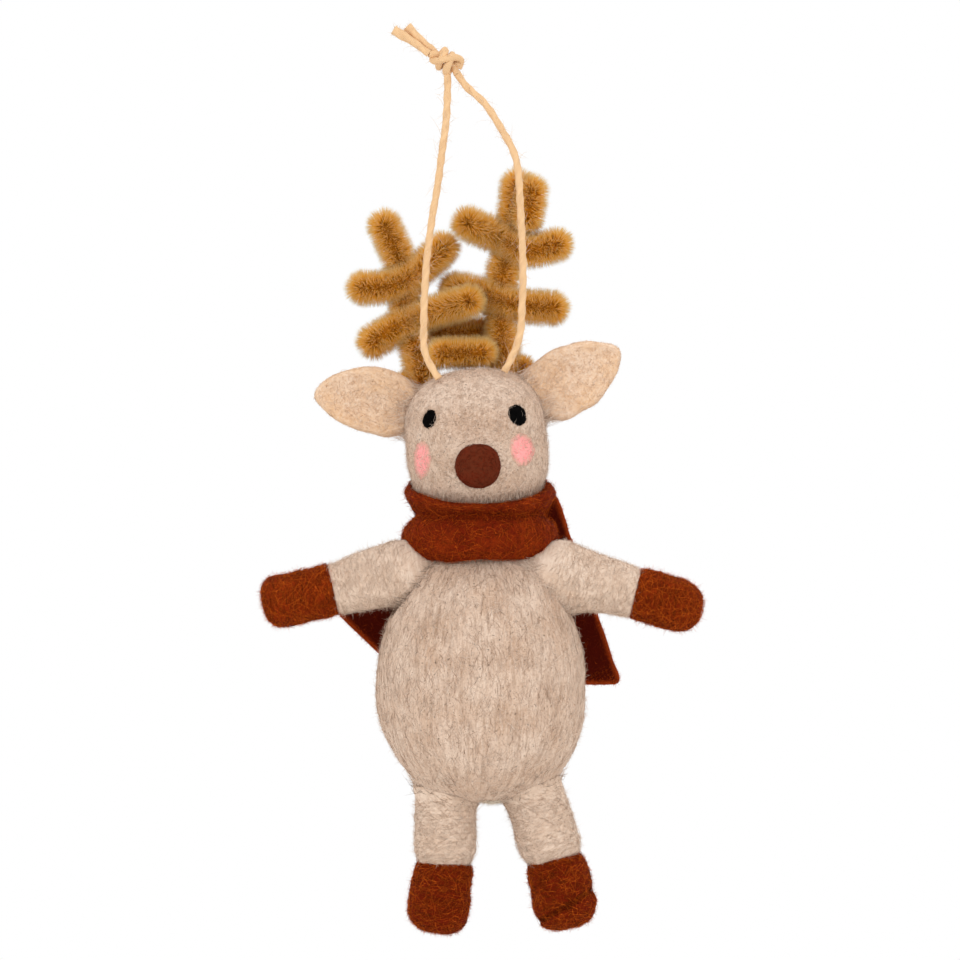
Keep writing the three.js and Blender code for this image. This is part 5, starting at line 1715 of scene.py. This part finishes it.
class ORNAMENT_OT_arms(bpy.types.Operator):
    """Winds the two arms and their rust mittens."""

    bl_idname = "ornament.arms"
    bl_label = "Arms and mittens"

    def execute(self, context):
        torso = bpy.data.objects["torso_wool"]
        for seed, (name, arm) in enumerate(ARMS.items(), 601):
            way = arm_way(arm["side"], arm["slope"])
            pivot = np.array(arm["pivot"], float)
            body = f"arm_{name}"
            waist = (ARM_WRIST + 0.35 * (ARM_ROOT - ARM_WRIST), arm["cuff"] * 0.6)
            profile = limb_profile(ARM_ROOT, ARM_INNER, ARM_WRIST, arm["cuff"], waist)
            sleeve = wound_sleeve(
                f"arm_wrap_{name}", body, profile, pivot, way, 0.75, arm["blend"], seed, -1.5, 0.55
            )
            joining_fuzz(
                f"{body}_joining_fuzz", sleeve, torso, body, "loose roving fibre", seed + 40, -way,
                int(180 * arm["blend"]),
            )
            if name == "left":
                # Dark hairs along the left shoulder's crease: painted shade
                joining_fuzz(
                    "arm_left_crease_shade_fuzz", torso, sleeve, "torso", "painted crease shade fibre", seed + 80,
                    (-0.55, 0, -0.85), 400, keep=lambda places: places[:, 1] < 1, reach=1.2, tone=0.1,
                )
            start = arm["cuff"] - CUFF_OVERLAP
            profile = tip_profile(MITT_RADIUS - 0.15, MITT_RADIUS, start, arm["length"], arm["squareness"])
            mitt = wound_limb(
                f"mitt_{name}", body, "rust-dyed wool", "rust_felt", profile, pivot, way, 1.1, seed + 20,
                plain, uneven=0.42,
            )
            rust_fuzz(mitt, body, way, seed + 20, reach=4.4, stand=0.8, middle=0.22, flecks=0.0)
            rim_fuzz(mitt, body, seed + 60, pivot + way * start, way, reach=2.0, count=420)
        return {"FINISHED"}


class ORNAMENT_OT_legs(bpy.types.Operator):
    """Winds the two legs and their rust boots."""

    bl_idname = "ornament.legs"
    bl_label = "Legs and boots"

    def execute(self, context):
        torso = bpy.data.objects["torso_wool"]
        for seed, (name, leg) in enumerate(LEGS.items(), 701):
            way = leg_way(leg["side"], leg["slant"])
            hip = np.array(leg["hip"], float)
            body = f"leg_{name}"
            waist = (LEG_RADIUS, leg["ankle"] * 0.78)
            profile = limb_profile(LEG_RADIUS, LEG_RADIUS, LEG_END, leg["ankle"], waist)
            sleeve = wound_sleeve(
                f"leg_wrap_{name}", body, profile, hip, way, 0.8, LEG_BLEND, seed, 0.5, 0.42
            )
            joining_fuzz(
                f"{body}_joining_fuzz", sleeve, torso, body, "loose roving fibre", seed + 40, -way, 500
            )
            # Dark hairs along the crease where the leg meets the torso: painted shade
            joining_fuzz(
                f"{body}_crease_shade_fuzz", sleeve, torso, body, "painted crease shade fibre", seed + 80,
                (leg["side"], 0, 0.1), 220, reach=1.2, tone=0.4,
            )
            ankle = hip + way * leg["ankle"]
            boot_way = leg_way(leg["side"], leg["boot_slant"])
            profile = tip_profile(BOOT_MOUTH, BOOT_RADIUS, -BOOT_RISE, BOOT_LENGTH, BOOT_SQUARENESS)
            # The right boot's crease gets dark hairs, as painted shade
            shape, crease_shade_hairs = (plain, 0.0) if name == "left" else (instep, instep_shade_band(ankle, boot_way))
            boot = wound_limb(
                f"boot_{name}", body, "deep rust-dyed wool", "rust_felt", profile, ankle, boot_way, 1.2,
                seed + 20, shape, uneven=0.45,
            )
            rust_fuzz(boot, body, boot_way, seed + 20, reach=4.8, stand=0.7, middle=0.18, flecks=crease_shade_hairs)
            rim_fuzz(boot, body, seed + 60, ankle - boot_way * BOOT_RISE, boot_way, reach=2.4, count=520)
        return {"FINISHED"}


class ORNAMENT_OT_scarf(bpy.types.Operator):
    """Winds the felt scarf round the neck and hangs its two tails behind."""

    bl_idname = "ornament.scarf"
    bl_label = "Scarf"

    def section(self):
        """The outer line of the wound strip, and the closed line round its whole section."""
        outer = smooth_path([(radius, height, 0) for radius, height in SCARF_LINE], 0.25)[:, :2]
        run = unit(np.gradient(outer, axis=0))
        inward = np.stack([-run[:, 1], run[:, 0]], axis=1)
        strip = millimetres("strip")
        inner = (outer + inward * strip)[::-1]
        crown = outer[-1] + inward[-1] * strip / 2 + run[-1] * strip * 0.3
        hem = outer[0] + inward[0] * strip / 2 - run[0] * strip * 0.3
        return outer, np.concatenate([[hem], outer, [crown], inner, [hem]])

    def wrap(self):
        """The wound strip: a ring drawn out to the folded section, and pressed by the head and the arms."""
        piece = added_piece(
            "scarf_wrap_felt", bpy.ops.mesh.primitive_torus_add,
            major_segments=180, minor_segments=72, major_radius=1, minor_radius=0.3,
        )
        while piece.data.uv_layers:
            piece.data.uv_layers.remove(piece.data.uv_layers[0])
        start = points_of(piece) * MM
        angle = np.arctan2(start[:, 1], start[:, 0])
        round_strip = np.arctan2(start[:, 2], np.hypot(start[:, 0], start[:, 1]) - 1)
        outer, loop = self.section()
        walked = walked_along(loop)
        place = np.mod(round_strip + math.pi / 2, FULL_TURN) / FULL_TURN * walked[-1]
        radius, height = (np.interp(place, walked, loop[:, i]) for i in range(2))
        ring = np.stack([14 * np.cos(angle), 14 * np.sin(angle), 0.5 * height], axis=1)
        radius = radius + 0.55 * lumps(ring, 7, 21) + 0.15 * lumps(ring, 2.2, 22)
        height = height + 0.5 * lumps(ring, 8, 23)
        points = np.stack([
            SCARF_CENTRE[0] + radius * np.cos(angle), SCARF_CENTRE[1] + radius * np.sin(angle), height
        ], axis=1)
        share = np.clip((height - SCARF_FOLD) / SCARF_UPPER_ROLL, 0, None)
        points[:, 2] += SCARF_BACK_RISE * share * (points[:, 1] - NECK_CENTRE[1])
        # It leaves room for the head as it hangs and as it is turned either way
        for turn, gap in ((0, 0.7), (NECK_TURN, 0.3), (-NECK_TURN, 0.3)):
            points = about_neck(clear_of_head(about_neck(points, turn), gap), -turn)
        for centre, ball in limb_balls():
            offset = points - centre
            reach = np.linalg.norm(offset, axis=1, keepdims=True)
            points = np.where(reach < ball + 0.2, centre + offset / reach * (ball + 0.2), points)
        felt_piece(piece, points, "pressed rust felt", "torso", "rust_felt", "scarf_wrap", comb=points)
        flat = (path_length(outer) * MM, FULL_TURN * SCARF_GIRTH_RADIUS * MM)
        wool_fuzz(
            piece, "torso", "rust_felt", "loose scarf fibre", 801, any_way(802), reach=1.8, lying=5600,
            standing=5600, loose=1900, stand=0.8, middle=0.3, spread=0.45, flecks=0.0, pale=0.8, lock=1.7,
            keep=lambda places, outward: np.hypot(*(places[:, :2] - NECK_CENTRE).T) > SCARF_HIDDEN_RADIUS,
        )
        # The wool of the chin hangs a little over the scarf's edge
        joining_fuzz(
            "chin_fuzz", bpy.data.objects["head_wool"], piece, "head", "loose greige fibre", 803,
            (0, -0.5, -0.8), 500, keep=lambda places: above_scarf(places) & (places[:, 1] < -2),
            reach=0.5, tone=0.65,
        )

    def tail(self, name, tail, seed):
        """One hanging end: a strip of felt with softened corners, bowed a little by its weight."""
        slant = math.radians(tail["slant"])
        down = np.array([math.sin(slant), 0, -math.cos(slant)])
        back = np.array([0, 1.0, 0])
        across = np.cross(down, back)
        root = np.array([tail["root"][0], TAIL_ROOT_Y, tail["root"][1]])
        reach, skew, half = tail["length"], tail["skew"], STRIP_WIDTH / 2
        strip = millimetres("strip")

        def felt(u, v, layer):
            """Points along the strip by u and across it by v."""
            along, wide = 2 * u - 1, 2 * v - 1
            edge = np.minimum((1 - np.abs(along)) * reach / 2, (1 - np.abs(wide)) * STRIP_WIDTH / 2)
            corner = 1 - 0.05 * (np.abs(along) ** 10) * (np.abs(wide) ** 10)
            along, wide = along * corner, wide * corner
            aside = wide * STRIP_WIDTH / 2
            run = (along + 1) / 2 * (reach + skew * aside)
            thick = strip / 2 * np.sqrt(np.clip(1 - (1 - np.minimum(edge, 1)) ** 2, 0, 1))
            flat = np.stack([run, aside, np.full_like(run, seed * 9.0)], axis=1)
            # The top lies tucked against the scarf
            tuck = TAIL_TUCK * np.clip(1 - run / TUCK_LENGTH, 0, 1) ** 2
            bow = 0.3 * np.sin(math.pi * u) - tuck
            bow = bow + 0.35 * lumps(flat, 9, seed) + 0.1 * lumps(flat, 1.8, seed + 1)
            aside = aside + 0.25 * lumps(flat, 3, seed + 2) * np.abs(wide)
            out = bow - layer * thick
            return root + run[:, None] * down + aside[:, None] * across + out[:, None] * back

        body = f"scarf_tail_{name}"
        piece = pillow_mesh(f"{body}_felt", felt, 72, 40)
        spot = points_of(piece) - root
        aside = spot @ across
        edge = np.minimum(reach + skew * aside - spot @ down, half - np.abs(aside))
        # The felt is painted darker for the body's shade, and paler towards the cut edges as painted rim
        # light
        clad(piece, "rust felt with painted shade and rim light", rim=np.clip(1 - edge / TAIL_RIM_LIGHT_WIDTH, 0, 1))
        settle_piece(piece, body, [body])
        middle = root + down * reach / 2

        def rim_lit_edges(places, outward):
            """More hairs stand along the cut edges, at the palest tone, as painted rim light."""
            aside = np.abs((places - middle) @ across)
            along = (places - middle) @ down
            return 0.3 + 14 * ((aside > half - 0.6) | (along > reach / 2 - 0.9 - 2.4 * skew))

        # pale=1.0 gives the edge hairs the palest tone, as painted rim light
        wool_fuzz(
            piece, body, "rust_felt", "loose scarf fibre", seed, any_way(seed), reach=1.6, lying=3200,
            standing=1800, outline=rim_lit_edges, stand=0.5, middle=0.25, spread=0.22, flecks=0.0, pale=1.0,
            thin=1.3, lock=1.1,
        )

    def execute(self, context):
        self.wrap()
        for seed, (name, tail) in enumerate(TAILS.items(), 811):
            self.tail(name, tail, seed)
        return {"FINISHED"}


class ORNAMENT_OT_wires(bpy.types.Operator):
    """Gives the wires of the armature, inside the wool, their metal."""

    bl_idname = "ornament.wires"
    bl_label = "Wire armature"

    def execute(self, context):
        for name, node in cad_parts.items():
            if "wire" in name:
                node.data.materials.clear()
                clad(node, "galvanised steel wire")
        return {"FINISHED"}


class ORNAMENT_PT_panel(bpy.types.Panel):
    """Lists the pieces of the ornament."""

    bl_idname = "ORNAMENT_PT_panel"
    bl_label = "Felted reindeer ornament"
    bl_space_type = "VIEW_3D"
    bl_region_type = "UI"
    bl_category = "Ornament"

    def draw(self, context):
        for made in OPERATORS:
            self.layout.operator(made.bl_idname)
        for group in (context.scene.ornament_sizes, context.scene.ornament_colours):
            box = self.layout.box()
            for name in group.bl_rna.properties.keys():
                if name not in ("rna_type", "name"):
                    box.prop(group, name)


OPERATORS = (
    ORNAMENT_OT_stage,
    ORNAMENT_OT_hanger,
    ORNAMENT_OT_head,
    ORNAMENT_OT_face,
    ORNAMENT_OT_ears,
    ORNAMENT_OT_antlers,
    ORNAMENT_OT_torso,
    ORNAMENT_OT_arms,
    ORNAMENT_OT_legs,
    ORNAMENT_OT_scarf,
    ORNAMENT_OT_wires,
)
CLASSES = (OrnamentColours, OrnamentSizes, *OPERATORS, ORNAMENT_PT_panel)


def register():
    """Registers the operators, the panel and the user's settings."""
    for made in CLASSES:
        bpy.utils.register_class(made)
    bpy.types.Scene.ornament_colours = bpy.props.PointerProperty(type=OrnamentColours)
    bpy.types.Scene.ornament_sizes = bpy.props.PointerProperty(type=OrnamentSizes)


def unregister():
    """Takes them out again."""
    del bpy.types.Scene.ornament_sizes
    del bpy.types.Scene.ornament_colours
    for made in reversed(CLASSES):
        bpy.utils.unregister_class(made)


def main():
    """Builds the ornament."""
    register()
    bpy.ops.ornament.stage()
    bpy.ops.ornament.hanger()
    bpy.ops.ornament.head()
    bpy.ops.ornament.face()
    bpy.ops.ornament.ears()
    bpy.ops.ornament.antlers()
    bpy.ops.ornament.torso()
    bpy.ops.ornament.arms()
    bpy.ops.ornament.legs()
    bpy.ops.ornament.scarf()
    bpy.ops.ornament.wires()


if __name__ == "__main__":
    main()
